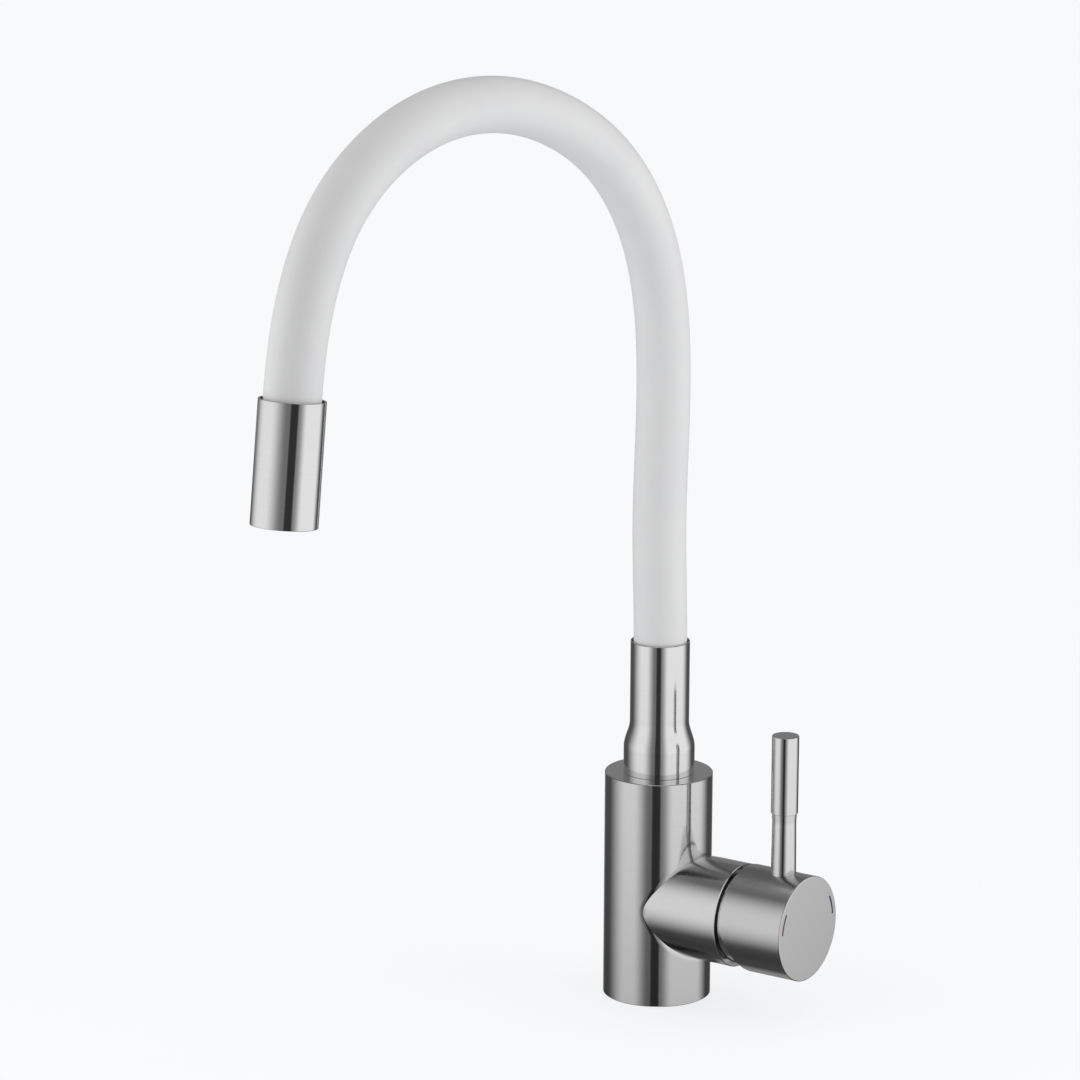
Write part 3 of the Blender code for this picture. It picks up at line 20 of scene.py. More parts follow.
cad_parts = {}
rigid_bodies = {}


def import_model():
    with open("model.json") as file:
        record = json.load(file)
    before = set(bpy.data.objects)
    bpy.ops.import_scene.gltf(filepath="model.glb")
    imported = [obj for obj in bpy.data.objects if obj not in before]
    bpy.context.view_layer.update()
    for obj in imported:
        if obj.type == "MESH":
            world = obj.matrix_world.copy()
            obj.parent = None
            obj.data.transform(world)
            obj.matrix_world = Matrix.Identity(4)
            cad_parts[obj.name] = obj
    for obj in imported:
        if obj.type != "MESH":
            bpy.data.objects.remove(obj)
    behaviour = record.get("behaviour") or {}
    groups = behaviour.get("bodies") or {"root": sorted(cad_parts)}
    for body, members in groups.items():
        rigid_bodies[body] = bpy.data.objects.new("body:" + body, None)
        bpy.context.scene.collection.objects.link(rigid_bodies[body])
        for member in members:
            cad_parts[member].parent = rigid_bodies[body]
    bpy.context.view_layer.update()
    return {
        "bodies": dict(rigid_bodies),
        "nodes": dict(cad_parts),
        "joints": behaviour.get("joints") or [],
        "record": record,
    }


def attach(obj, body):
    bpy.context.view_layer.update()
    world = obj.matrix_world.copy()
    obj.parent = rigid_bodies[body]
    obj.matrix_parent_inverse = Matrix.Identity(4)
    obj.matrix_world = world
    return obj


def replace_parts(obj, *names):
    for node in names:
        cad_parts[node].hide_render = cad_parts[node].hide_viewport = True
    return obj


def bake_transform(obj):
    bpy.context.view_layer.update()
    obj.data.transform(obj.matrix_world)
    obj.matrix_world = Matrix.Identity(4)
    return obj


LOG = logging.getLogger("faucet")
Point = Sequence[float]
Colour = tuple[float, float, float]

BRANCH_HEIGHT = 0.0454
BRANCH_FRAME = Matrix.Translation((0.0, 0.0, BRANCH_HEIGHT)) @ Matrix.Rotation(math.pi / 2, 4, "Y")
PIN_OFFSET = 0.069
NECK_TOP = 0.1692
SPOUT_REACH = 0.2774
HEAD_RIM_HEIGHT = 0.3309512
HEAD_TILT = math.radians(6.67)
VIEW_AZIMUTH = math.radians(34.856)
WELD = 1e-7
MERGE = 2e-6
GUARD_SHARE = 0.4


class Slot(Enum):
    """The record's material slots."""

    STEEL = "brushed_stainless"
    SPRING = "spring_steel"
    BRASS = "brass"
    SILICONE = "white_silicone"
    RUBBER = "black_rubber"
    PLASTIC = "grey_plastic"
    WHITE_PLASTIC = "white_plastic"
    TUBE = "tube_plastic"
    CERAMIC = "ceramic"
    RED = "red_enamel"
    BLUE = "blue_enamel"


class Grain(Enum):
    """The line that a metal's grain runs round: a far point on it, from which its direction is taken."""

    UPRIGHT = (0.0, 0.0, -1.0)
    BRANCH = (-1.0, 0.0, BRANCH_HEIGHT)
    PIN = (PIN_OFFSET, 0.0, -1.0)
    HEAD = (0.0, -SPOUT_REACH - math.sin(HEAD_TILT), HEAD_RIM_HEIGHT - math.cos(HEAD_TILT))
    NONE = ()


# Shader nodes


class Graph:
    """A node tree, with short calls that add and join its nodes."""

    def __init__(self, tree: bpy.types.NodeTree) -> None:
        """Keep the tree to add to."""
        self.tree = tree

    def add(self, kind: str, links: dict | None = None, **settings: object) -> bpy.types.Node:
        """Add a node.

        Args:
            kind: the node's type, such as ShaderNodeMath.
            links: for inputs by name or number, a socket to join or a value to set.
            settings: the node's own settings.

        Returns:
            The new node.
        """
        node = self.tree.nodes.new(kind)
        for name, value in settings.items():
            setattr(node, name, value)
        self.feed(node, links or {})
        return node

    def feed(self, node: bpy.types.Node, links: dict) -> None:
        """Join or set a node's inputs.

        Args:
            node: the node.
            links: for inputs by name or number, a socket to join or a value to set.
        """
        for key, value in links.items():
            if isinstance(value, bpy.types.NodeSocket):
                self.tree.links.new(value, node.inputs[key])
            else:
                node.inputs[key].default_value = value

    def sum(self, operation: str, *values: object) -> bpy.types.NodeSocket:
        """Add a Math node to sockets or numbers."""
        return self.add("ShaderNodeMath", dict(enumerate(values)), operation=operation).outputs[0]

    def vector(self, operation: str, *values: object, out: str = "Vector") -> bpy.types.NodeSocket:
        """Add a Vector Math node and use its output Vector or Value."""
        return self.add("ShaderNodeVectorMath", dict(enumerate(values)), operation=operation).outputs[out]

    def ramp(self, value: object, low: float, high: float, start: float = 0.0, end: float = 1.0
             ) -> bpy.types.NodeSocket:
        """Map a value smoothly from the range low to high onto start to end."""
        links = {"Value": value, "From Min": low, "From Max": high, "To Min": start, "To Max": end}
        return self.add("ShaderNodeMapRange", links, interpolation_type="SMOOTHSTEP").outputs["Result"]

    def noise(self, place: bpy.types.NodeSocket, scale: object, detail: float = 2.0, roughness: float = 0.5
              ) -> bpy.types.NodeSocket:
        """Add a noise of a given fineness, with finer layers and their strength."""
        links = {"Vector": place, "Scale": scale, "Detail": detail, "Roughness": roughness}
        return self.add("ShaderNodeTexNoise", links).outputs["Fac"]


class GroupKit:
    """The node groups that several materials share, each built once."""

    _made: dict[str, bpy.types.NodeTree] = {}

    @classmethod
    def _new(cls, name: str, inputs: dict[str, str], outputs: dict[str, str]
             ) -> tuple[Graph, bpy.types.NodeOutputs, bpy.types.Node]:
        """Start a group.

        Args:
            name: the group's name.
            inputs: socket types by input name.
            outputs: socket types by output name.

        Returns:
            The group's graph, the sockets that bring its inputs, and its output node.
        """
        tree = bpy.data.node_groups.new(name, "ShaderNodeTree")
        for label, kind in inputs.items():
            tree.interface.new_socket(label, in_out="INPUT", socket_type=kind)
        for label, kind in outputs.items():
            tree.interface.new_socket(label, in_out="OUTPUT", socket_type=kind)
        graph = Graph(tree)
        cls._made[name] = tree
        return graph, graph.add("NodeGroupInput").outputs, graph.add("NodeGroupOutput")

    @classmethod
    def brushing(cls) -> bpy.types.NodeTree:
        """Fine turned lines round an axis with a slow drift: a roughness, a height and a colour factor."""
        if "brushing" in cls._made:
            return cls._made["brushing"]
        floats, vectors = "NodeSocketFloat", "NodeSocketVector"
        inputs = {"Position": vectors, "Axis": vectors, "Lines": floats, "Run": floats, "Roughness": floats,
                  "Spread": floats, "Shade": floats}
        outputs = {"Roughness": floats, "Height": floats, "Shade": floats}
        graph, given, result = cls._new("brushing", inputs, outputs)
        place, axis = given["Position"], given["Axis"]
        along = graph.vector("DOT_PRODUCT", place, axis, out="Value")
        out = graph.vector("LENGTH", graph.vector("CROSS_PRODUCT", place, axis), out="Value")
        line = graph.sum("MULTIPLY", graph.sum("ADD", along, out), given["Lines"])
        slow = graph.add("ShaderNodeVectorMath", {0: place, "Scale": given["Run"]}, operation="SCALE")
        x, y, z = graph.add("ShaderNodeSeparateXYZ", {0: slow.outputs[0]}).outputs
        fine_way = graph.add("ShaderNodeCombineXYZ", {0: graph.sum("ADD", x, line), 1: y, 2: z}).outputs[0]
        fine = graph.noise(fine_way, 1.0, 3.0, 0.6)
        broad = graph.noise(fine_way, 0.13)
        cloud = graph.noise(place, 45.0)
        mixed = graph.sum("ADD", graph.sum("MULTIPLY", fine, 0.6), graph.sum("MULTIPLY", broad, 0.4))
        centred = graph.sum("SUBTRACT", mixed, 0.5)
        worn = graph.sum("MULTIPLY_ADD", graph.sum("SUBTRACT", cloud, 0.5), 0.5, centred)
        graph.feed(result, {
            "Roughness": graph.sum("MULTIPLY_ADD", worn, given["Spread"], given["Roughness"]),
            "Height": mixed,
            "Shade": graph.sum("MULTIPLY_ADD", centred, given["Shade"], 1.0)})
        return graph.tree

    @classmethod
    def mottle(cls) -> bpy.types.NodeTree:
        """A soft cloud and a fine tooth, for moulded things: a colour, a roughness and a height."""
        if "mottle" in cls._made:
            return cls._made["mottle"]
        floats, colours = "NodeSocketFloat", "NodeSocketColor"
        inputs = {"Vector": "NodeSocketVector", "Cloud Scale": floats, "Tooth Scale": floats,
                  "Light": colours, "Dark": colours, "Roughness": floats, "Spread": floats}
        outputs = {"Colour": colours, "Roughness": floats, "Height": floats}
        graph, given, result = cls._new("mottle", inputs, outputs)
        cloud = graph.noise(given["Vector"], given["Cloud Scale"], 3.0)
        tooth = graph.noise(given["Vector"], given["Tooth Scale"])
        mask = graph.ramp(cloud, 0.3, 0.7)
        colour = graph.add("ShaderNodeMix", {0: mask, 6: given["Light"], 7: given["Dark"]}, data_type="RGBA")
        mixed = graph.sum("MULTIPLY_ADD", tooth, 0.5, graph.sum("MULTIPLY", cloud, 0.5))
        centred = graph.sum("SUBTRACT", mixed, 0.5)
        graph.feed(result, {
            "Colour": colour.outputs[2],
            "Roughness": graph.sum("MULTIPLY_ADD", centred, given["Spread"], given["Roughness"]),
            "Height": tooth})
        return graph.tree


@dataclass(frozen=True)
class MetalFinish:
    """A satin or bright metal, with a fine turned or drawn grain."""

    name: str
    colour: Colour
    roughness: float
    spread: float = 0.10
    shade: float = 0.10
    anisotropy: float = 0.0
    grain: Grain = Grain.NONE
    pitch: float = 0.00035
    run: float = 0.06
    depth: float = 0.000003
    bump: float = 0.3

    def material(self) -> bpy.types.Material:
        """Build the material.

        Returns:
            The new material.
        """
        material = bpy.data.materials.new(self.name)
        material.use_nodes = True
        graph = Graph(material.node_tree)
        shader = graph.tree.nodes["Principled BSDF"]
        far = Vector(self.grain.value or Grain.UPRIGHT.value)
        foot = AXIS_FEET.get(self.grain, Vector((0.0, 0.0, 0.0)))
        place = graph.add("ShaderNodeTexCoord").outputs["Object"]
        links = {"Position": graph.vector("SUBTRACT", place, foot), "Axis": (foot - far).normalized(),
                 "Lines": 1 / self.pitch, "Run": 1 / self.run, "Roughness": self.roughness,
                 "Spread": self.spread, "Shade": self.shade}
        brushed = graph.add("ShaderNodeGroup", links, node_tree=GroupKit.brushing()).outputs
        tint = graph.add("ShaderNodeMix", {0: 1.0, 6: (*self.colour, 1.0), 7: brushed["Shade"]},
                         data_type="RGBA", blend_type="MULTIPLY")
        bump = graph.add("ShaderNodeBump", {"Strength": self.bump, "Distance": self.depth,
                                            "Height": brushed["Height"]})
        graph.feed(shader, {"Base Color": tint.outputs[2], "Roughness": brushed["Roughness"], "Metallic": 1.0,
                            "Normal": bump.outputs["Normal"]})
        if self.anisotropy:
            way = graph.add("ShaderNodeVectorTransform", {0: graph.vector("SUBTRACT", place, far)},
                            vector_type="VECTOR", convert_from="OBJECT", convert_to="WORLD").outputs[0]
            graph.feed(shader, {"Anisotropic": self.anisotropy, "Tangent": way})
        return material


@dataclass(frozen=True)
class MouldedFinish:
    """A moulded, cast or fired surface with a soft mottle and a fine tooth."""

    name: str
    light: Colour
    dark: Colour
    roughness: float
    spread: float = 0.08
    cloud: float = 60.0
    tooth: float = 2600.0
    depth: float = 0.00001
    bump: float = 0.4
    specular: float = 0.5
    coat: float = 0.0
    sheen: float = 0.0
    transmission: float = 0.0

    def material(self) -> bpy.types.Material:
        """Build the material.

        Returns:
            The new material.
        """
        material = bpy.data.materials.new(self.name)
        material.use_nodes = True
        graph = Graph(material.node_tree)
        links = {"Vector": graph.add("ShaderNodeTexCoord").outputs["Object"], "Cloud Scale": self.cloud,
                 "Tooth Scale": self.tooth, "Light": (*self.light, 1.0), "Dark": (*self.dark, 1.0),
                 "Roughness": self.roughness, "Spread": self.spread}
        mottled = graph.add("ShaderNodeGroup", links, node_tree=GroupKit.mottle()).outputs
        bump = graph.add("ShaderNodeBump", {"Strength": self.bump, "Distance": self.depth,
                                            "Height": mottled["Height"]})
        graph.feed(graph.tree.nodes["Principled BSDF"], {
            "Base Color": mottled["Colour"], "Roughness": mottled["Roughness"],
            "Normal": bump.outputs["Normal"], "Specular IOR Level": self.specular, "Coat Weight": self.coat,
            "Sheen Weight": self.sheen, "Transmission Weight": self.transmission})
        return material


AXIS_FEET = {
    Grain.BRANCH: Vector((0.0, 0.0, BRANCH_HEIGHT)),
    Grain.PIN: Vector((PIN_OFFSET, 0.0, 0.0)),
    Grain.HEAD: Vector((0.0, -SPOUT_REACH, HEAD_RIM_HEIGHT)),
}
# The body's and branch's tone is the steel's own. The neck, pin, head and face copies are given lighter base
# colours, and the cap a darker one, so that each part matches how bright it looks under the light: painted
# light and painted shade. Their grain, roughness and anisotropy are the steel's own.
BODY_STEEL = MetalFinish("body_satin_steel", (0.62, 0.62, 0.62), 0.11, anisotropy=0.6, grain=Grain.UPRIGHT)
NECK_STEEL_PAINTED_LIGHTER = MetalFinish("neck_satin_steel_painted_lighter", (0.69, 0.69, 0.69), 0.11, anisotropy=0.6, grain=Grain.UPRIGHT)
BRANCH_STEEL = MetalFinish("branch_satin_steel", (0.60, 0.60, 0.60), 0.18, anisotropy=0.5, grain=Grain.BRANCH)
CAP_STEEL_PAINTED_DARKER = MetalFinish("cap_satin_steel_painted_darker", (0.54, 0.54, 0.54), 0.24, anisotropy=0.5, grain=Grain.BRANCH)
PIN_STEEL_PAINTED_LIGHTER = MetalFinish("pin_satin_steel_painted_lighter", (0.68, 0.68, 0.68), 0.11, anisotropy=0.5, grain=Grain.PIN)
FACE_STEEL_PAINTED_LIGHTER = MetalFinish("face_satin_steel_painted_lighter", (0.73, 0.73, 0.73), 0.30, grain=Grain.BRANCH, shade=0.04)
HEAD_STEEL_PAINTED_LIGHTER = MetalFinish("head_satin_steel_painted_lighter", (0.68, 0.68, 0.68), 0.11, anisotropy=0.6, grain=Grain.HEAD)
WHITE_SILICONE = MouldedFinish("matt_white_silicone", (0.80, 0.80, 0.80), (0.78, 0.78, 0.785), 0.48,
                               specular=0.35, sheen=0.08, cloud=35.0, tooth=1800.0)
# The enamel fills are really red and blue, but their colours are darkened to the shade that falls in their
# sunk grooves: painted shade.
SHADED_RED_FILL = MouldedFinish("red_enamel_fill_painted_shade", (0.12, 0.014, 0.020), (0.09, 0.011, 0.015), 0.35, cloud=300.0,
                         specular=0.3)
SHADED_BLUE_FILL = MouldedFinish("blue_enamel_fill_painted_shade", (0.008, 0.020, 0.085), (0.006, 0.015, 0.06), 0.35, cloud=300.0,
                          specular=0.3)
SLOT_FINISHES: dict[Slot, MetalFinish | MouldedFinish] = {
    Slot.STEEL: MetalFinish("plain_satin_steel", (0.62, 0.62, 0.62), 0.26),
    Slot.SPRING: MetalFinish("spring_steel_wire", (0.50, 0.50, 0.52), 0.32, pitch=0.0006),
    Slot.BRASS: MetalFinish("turned_brass", (0.78, 0.60, 0.32), 0.30, pitch=0.0005),
    Slot.SILICONE: WHITE_SILICONE,
    Slot.RUBBER: MouldedFinish("black_rubber", (0.035, 0.035, 0.036), (0.022, 0.022, 0.022), 0.62,
                               cloud=120.0),
    Slot.PLASTIC: MouldedFinish("grey_moulded_plastic", (0.50, 0.51, 0.53), (0.46, 0.47, 0.49), 0.42),
    Slot.WHITE_PLASTIC: MouldedFinish("white_moulded_plastic", (0.82, 0.82, 0.80), (0.79, 0.79, 0.77), 0.36),
    Slot.TUBE: MouldedFinish("milky_tube_plastic", (0.72, 0.76, 0.78), (0.68, 0.72, 0.74), 0.30,
                             transmission=0.2),
    Slot.CERAMIC: MouldedFinish("fired_ceramic", (0.88, 0.87, 0.84), (0.84, 0.83, 0.80), 0.18, coat=0.2),
    Slot.RED: SHADED_RED_FILL,
    Slot.BLUE: SHADED_BLUE_FILL,
}


class Paint:
    """Hands out each finish's material, built once."""

    _made: dict[str, bpy.types.Material] = {}

    @classmethod
    def of(cls, finish: MetalFinish | MouldedFinish) -> bpy.types.Material:
        """The material of a finish.

        Args:
            finish: the finish.

        Returns:
            Its material.
        """
        if finish.name not in cls._made:
            cls._made[finish.name] = finish.material()
        return cls._made[finish.name]


# Meshes


class Skin:
    """A surface that grows loop by loop."""

    def __init__(self) -> None:
        """Start with nothing."""
        self.points: list[tuple[float, float, float]] = []
        self.faces: list[tuple[int, ...]] = []

    def loop(self, points: Sequence[Point]) -> list[int]:
        """Add points.

        Args:
            points: their places.

        Returns:
            Their numbers.
        """
        first = len(self.points)
        self.points.extend(tuple(float(value) for value in point) for point in points)
        return list(range(first, len(self.points)))

    def bridge(self, first: Sequence[int], second: Sequence[int], closed: bool = True) -> None:
        """Join two rows of points with quads.

        Args:
            first: the first row's numbers.
            second: the second row's, as many.
            closed: whether the rows are rings.
        """
        count = len(first)
        for index in range(count if closed else count - 1):
            after = (index + 1) % count
            self.faces.append((first[index], first[after], second[after], second[index]))

    def chain(self, rows: Sequence[Sequence[int]], closed: bool = True) -> None:
        """Join each row of points to the next, as rings if closed."""
        for first, second in zip(rows, rows[1:]):
            self.bridge(first, second, closed)

    def fan(self, ring: Sequence[int], point: Point) -> None:
        """Close a ring with triangles round a point.

        Args:
            ring: the ring's numbers.
            point: the middle.
        """
        middle = self.loop([point])[0]
        for index, start in enumerate(ring):
            self.faces.append((start, ring[(index + 1) % len(ring)], middle))

    def piece(self, name: str, frame: Matrix | None = None, sharp: float = 28.0) -> bpy.types.Object:
        """Make the object.

        Args:
            name: its name.
            frame: where its own frame stands.
            sharp: edges that turn by more degrees than this are sharp.

        Returns:
            The new object, whose own origin stays at the frame's origin.
        """
        mesh = bpy.data.meshes.new(name)
        mesh.from_pydata(self.points, [], self.faces)
        shape = bmesh.new()
        shape.from_mesh(mesh)
        bmesh.ops.remove_doubles(shape, verts=shape.verts, dist=WELD)
        bmesh.ops.recalc_face_normals(shape, faces=shape.faces)
        shape.to_mesh(mesh)
        shape.free()
        if frame is not None:
            mesh.transform(frame)
        piece = stand(name, mesh)
        smooth(piece, sharp)
        return piece


def stand(name: str, data: bpy.types.ID) -> bpy.types.Object:
    """Put a mesh, a lamp or a camera into the scene.

    Args:
        name: the object's name.
        data: what it shows.

    Returns:
        The new object.
    """
    thing = bpy.data.objects.new(name, data)
    bpy.context.scene.collection.objects.link(thing)
    return thing


def smooth(piece: bpy.types.Object, sharp: float = 28.0) -> None:
    """Shade a piece smooth, but for edges that turn by more than sharp, in degrees."""
    piece.data.shade_smooth()
    piece.data.set_sharp_from_angle(angle=math.radians(sharp))


def eased(corners: Sequence[tuple[float, float, float]], steps: int = 4) -> list[tuple[float, float]]:
    """Round a profile's corners, with a guard line beside each rounding that keeps the flats flat.

    Args:
        corners: (radius, height, rounding) of each corner.
        steps: how many facets a rounding has.

    Returns:
        The profile's points.
    """
    points: list[tuple[float, float]] = []
    count = len(corners)
    for index, (radius, height, rounding) in enumerate(corners):
        here = Vector((radius, height))
        if rounding <= 0.0:
            points.append((radius, height))
            continue
        before = (Vector(corners[index - 1][:2]) - here).normalized()
        after = (Vector(corners[(index + 1) % count][:2]) - here).normalized()
        half = before.angle(after) / 2
        start, end = here + before * rounding, here + after * rounding
        centre = here + (before + after).normalized() * (rounding / math.cos(half))
        points.append(tuple(start + before * rounding * GUARD_SHARE))
        for step in range(steps + 1):
            share = step / steps
            arm = (start - centre).lerp(end - centre, share)
            points.append(tuple(centre + arm.normalized() * (start - centre).length))
        points.append(tuple(end + after * rounding * GUARD_SHARE))
    return points


def turned(name: str, profile: Sequence[tuple[float, float]], frame: Matrix | None = None,
           sides: int = 160) -> bpy.types.Object:
    """Turn a profile round its frame's Z axis.

    Args:
        name: the piece's name.
        profile: (radius, height) points, a closed line unless it starts and ends on the axis.
        frame: where the axis stands.
        sides: how many facets go round.

    Returns:
        The new piece.
    """
    skin = Skin()
    angles = [2 * math.pi * side / sides for side in range(sides)]
    rings = []
    for radius, height in profile:
        if radius > 0.0:
            rings.append(skin.loop([(radius * math.cos(a), radius * math.sin(a), height) for a in angles]))
    skin.chain(rings)
    if profile[0][0] == 0.0:
        skin.fan(rings[0], (0.0, 0.0, profile[0][1]))
        skin.fan(rings[-1], (0.0, 0.0, profile[-1][1]))
    else:
        skin.bridge(rings[-1], rings[0])
    return skin.piece(name, frame)


def block(low: Point, high: Point, frame: Matrix | None = None) -> bpy.types.Object:
    """A box to cut with.

    Args:
        low: its lowest corner.
        high: its highest corner.
        frame: where it stands.

    Returns:
        The box.
    """
    mesh = bpy.data.meshes.new("cutter")
    shape = bmesh.new()
    bmesh.ops.create_cube(shape, size=1.0)
    low, high = Vector(low), Vector(high)
    bmesh.ops.scale(shape, vec=high - low, verts=shape.verts)
    bmesh.ops.translate(shape, vec=(low + high) / 2, verts=shape.verts)
    shape.to_mesh(mesh)
    shape.free()
    if frame is not None:
        mesh.transform(frame)
    return stand("cutter", mesh)


def carve(piece: bpy.types.Object, *cutters: bpy.types.Object) -> bpy.types.Object:
    """Cut shapes out of a piece, remove them, and close up the hair-thin faces that a cut can leave.

    Args:
        piece: the piece.
        cutters: the shapes.

    Returns:
        The piece.
    """
    for cutter in cutters:
        boolean = piece.modifiers.new("carve", "BOOLEAN")
        boolean.operation = "DIFFERENCE"
        boolean.solver = "EXACT"
        boolean.object = cutter
    bpy.context.view_layer.update()
    depsgraph = bpy.context.evaluated_depsgraph_get()
    mesh = bpy.data.meshes.new_from_object(piece.evaluated_get(depsgraph), depsgraph=depsgraph)
    shape = bmesh.new()
    shape.from_mesh(mesh)
    bmesh.ops.remove_doubles(shape, verts=shape.verts, dist=MERGE)
    bmesh.ops.dissolve_degenerate(shape, edges=shape.edges, dist=MERGE)
    shape.to_mesh(mesh)
    shape.free()
    piece.modifiers.clear()
    piece.data = mesh
    for cutter in cutters:
        bpy.data.objects.remove(cutter)
    smooth(piece)
    return piece


def dress(piece: bpy.types.Object, slot: Slot, *finishes: MetalFinish | MouldedFinish) -> bpy.types.Object:
    """Give a piece its finishes.

    Args:
        piece: the piece.
        slot: the record's slot; not used.
        finishes: its finishes, the main one first.

    Returns:
        The piece.
    """
    piece.data.materials.clear()
    for finish in finishes:
        piece.data.materials.append(Paint.of(finish))
    return piece


# Sub-assemblies


def on_branch(along: float, radius: float, angle: float) -> tuple[float, float, float]:
    """A point round the branch's axis, at an angle from +Y up and over."""
    return along, radius * math.cos(angle), BRANCH_HEIGHT + radius * math.sin(angle)


@dataclass
class FaucetBody:
    """The upright body with its branch, which meets it in a crease that polishing has rolled in."""

    radius: float = 0.025
    height: float = 0.1067
    edge: float = 0.0003
    branch_radius: float = 0.02415
    branch_reach: float = 0.047
    branch_edge: float = 0.00035
    counterbore_radius: float = 0.0234
    counterbore_floor: float = 0.0440
    root_radius: float = 0.02355
    root_end: float = 0.030
    roll_depth: float = 0.00018
    roll_width: float = 0.0022
    chamber_radius: float = 0.0178
    chamber_seat: float = 0.0135
    recess_radius: float = 0.0206
    recess_floor: float = 0.0407
    socket_radius: float = 0.011
    socket_floor: float = 0.0717
    relief_radius: float = 0.0185
    relief_depth: float = 0.002
    groove_inner: float = 0.0202
    groove_outer: float = 0.0232
    groove_depth: float = 0.0016
    hole_depth: float = 0.016
    inlet_radius: float = 0.0045
    inlet_offset: float = 0.00693
    stud_radius: float = 0.0034
    stud_offset: float = -0.0125
    hole_sides: int = 48
    seam: float = 0.0001
    clear_of_side: float = 0.0005
    side_slant: float = 0.2
    around: int = 256
    roll_steps: int = 8
    branch_steps: int = 6
    spread_steps: int = 20
    crease_rounds: int = 12

    def on_body(self, angle: float, height: float) -> tuple[float, float, float]:
        """A point of the body's side, at an angle from +X towards +Y."""
        return self.radius * math.cos(angle), self.radius * math.sin(angle), height

    def level_ring(self, skin: Skin, radius: float, height: float) -> list[int]:
        """A ring round the body's axis, from +Y round by +X, as the body's rims run.

        Args:
            skin: the surface to add to.
            radius: the ring's radius.
            height: its height.

        Returns:
            The ring's numbers.
        """
        count = self.around // 2
        angles = [math.pi / 2 - 2 * math.pi * index / count for index in range(count)]
        return skin.loop([(radius * math.cos(a), radius * math.sin(a), height) for a in angles])

    def branch_ring(self, skin: Skin, radius: float, offset: float) -> list[int]:
        """A ring round the branch's axis, from +Y up and over, at an offset from the body's."""
        angles = [2 * math.pi * index / self.around for index in range(self.around)]
        return skin.loop([on_branch(offset, radius, angle) for angle in angles])

    def branch_rows(self) -> list[list[Vector]]:
        """The rows of the branch's side, which draws in slightly towards its root.

        Returns:
            Rows of points, from behind the mouth to the crease.
        """
        angles = [2 * math.pi * index / self.around for index in range(self.around)]
        roots = [self.crease(angle)[0].x for angle in angles]
        start = min(self.root_end, self.branch_reach - self.branch_edge)
        rows = []
        for step in range(self.branch_steps):
            places = [start + (root - start) * step / (self.branch_steps - 1) for root in roots]
            rows.append([Vector(on_branch(along, self.side_radius(along), angle))
                         for along, angle in zip(places, angles)])
        return rows

    def side_radius(self, along: float) -> float:
        """The branch's radius at a distance from the body's axis."""
        share = max(0.0, min(1.0, (self.root_end - along) / (self.root_end - self.radius / 2)))
        return self.branch_radius + (self.root_radius - self.branch_radius) * share

    def crease(self, angle: float) -> tuple[Vector, Vector]:
        """The crease between branch and body.

        Args:
            angle: the angle round the branch, from +Y up and over.

        Returns:
            Its place, and the same place on the unrolled side of the body: its distance round and its height.
        """
        deep = self.radius - self.roll_depth
        along = deep / 2
        for _ in range(self.crease_rounds):
            across = self.side_radius(along) * math.cos(angle)
            along = math.sqrt(deep ** 2 - across ** 2)
        place = Vector((along, across, BRANCH_HEIGHT + self.side_radius(along) * math.sin(angle)))
        return place, Vector((self.radius * math.atan2(place.y, place.x), place.z))

    def roll_rows(self) -> list[list[Vector]]:
        """The rows of the body's side where it rolls in towards the crease.

        Returns:
            Rows of points, from just outside the crease to where the side is straight again.
        """
        flat = [self.crease(2 * math.pi * index / self.around)[1] for index in range(self.around)]
        rows: list[list[Vector]] = [[] for _ in range(self.roll_steps + 1)]
        for index, here in enumerate(flat):
            run = flat[(index + 1) % self.around] - flat[index - 1]
            out = Vector((run.y, -run.x)).normalized()
            if out.dot(here - Vector((0.0, BRANCH_HEIGHT))) < 0.0:
                out = -out
            for step, row in enumerate(rows):
                share = step / self.roll_steps
                spot = here + out * self.roll_width * share
                radius = self.radius - self.roll_depth * (1 - share) ** 2
                turn = spot.x / self.radius
                row.append(Vector((radius * math.cos(turn), radius * math.sin(turn), spot.y)))
        return rows

    def rim_places(self) -> list[tuple[float, float]]:
        """(angle, height) of points round the half of the side that faces the branch.

        Returns:
            As many places as the branch's rings have, in the same order.
        """
        quarter = self.around // 4
        low, high = self.edge, self.height - self.edge
        places = []
        for index in range(self.around):
            side, along = divmod(index + quarter // 2, quarter)
            share = along / quarter
            up, across = low + (high - low) * share, math.pi * (0.5 - share)
            places.append({0: (math.pi / 2, up), 1: (across, high), 2: (-math.pi / 2, low + high - up),
                           3: (-across, low), 4: (math.pi / 2, up)}[side])
        return places

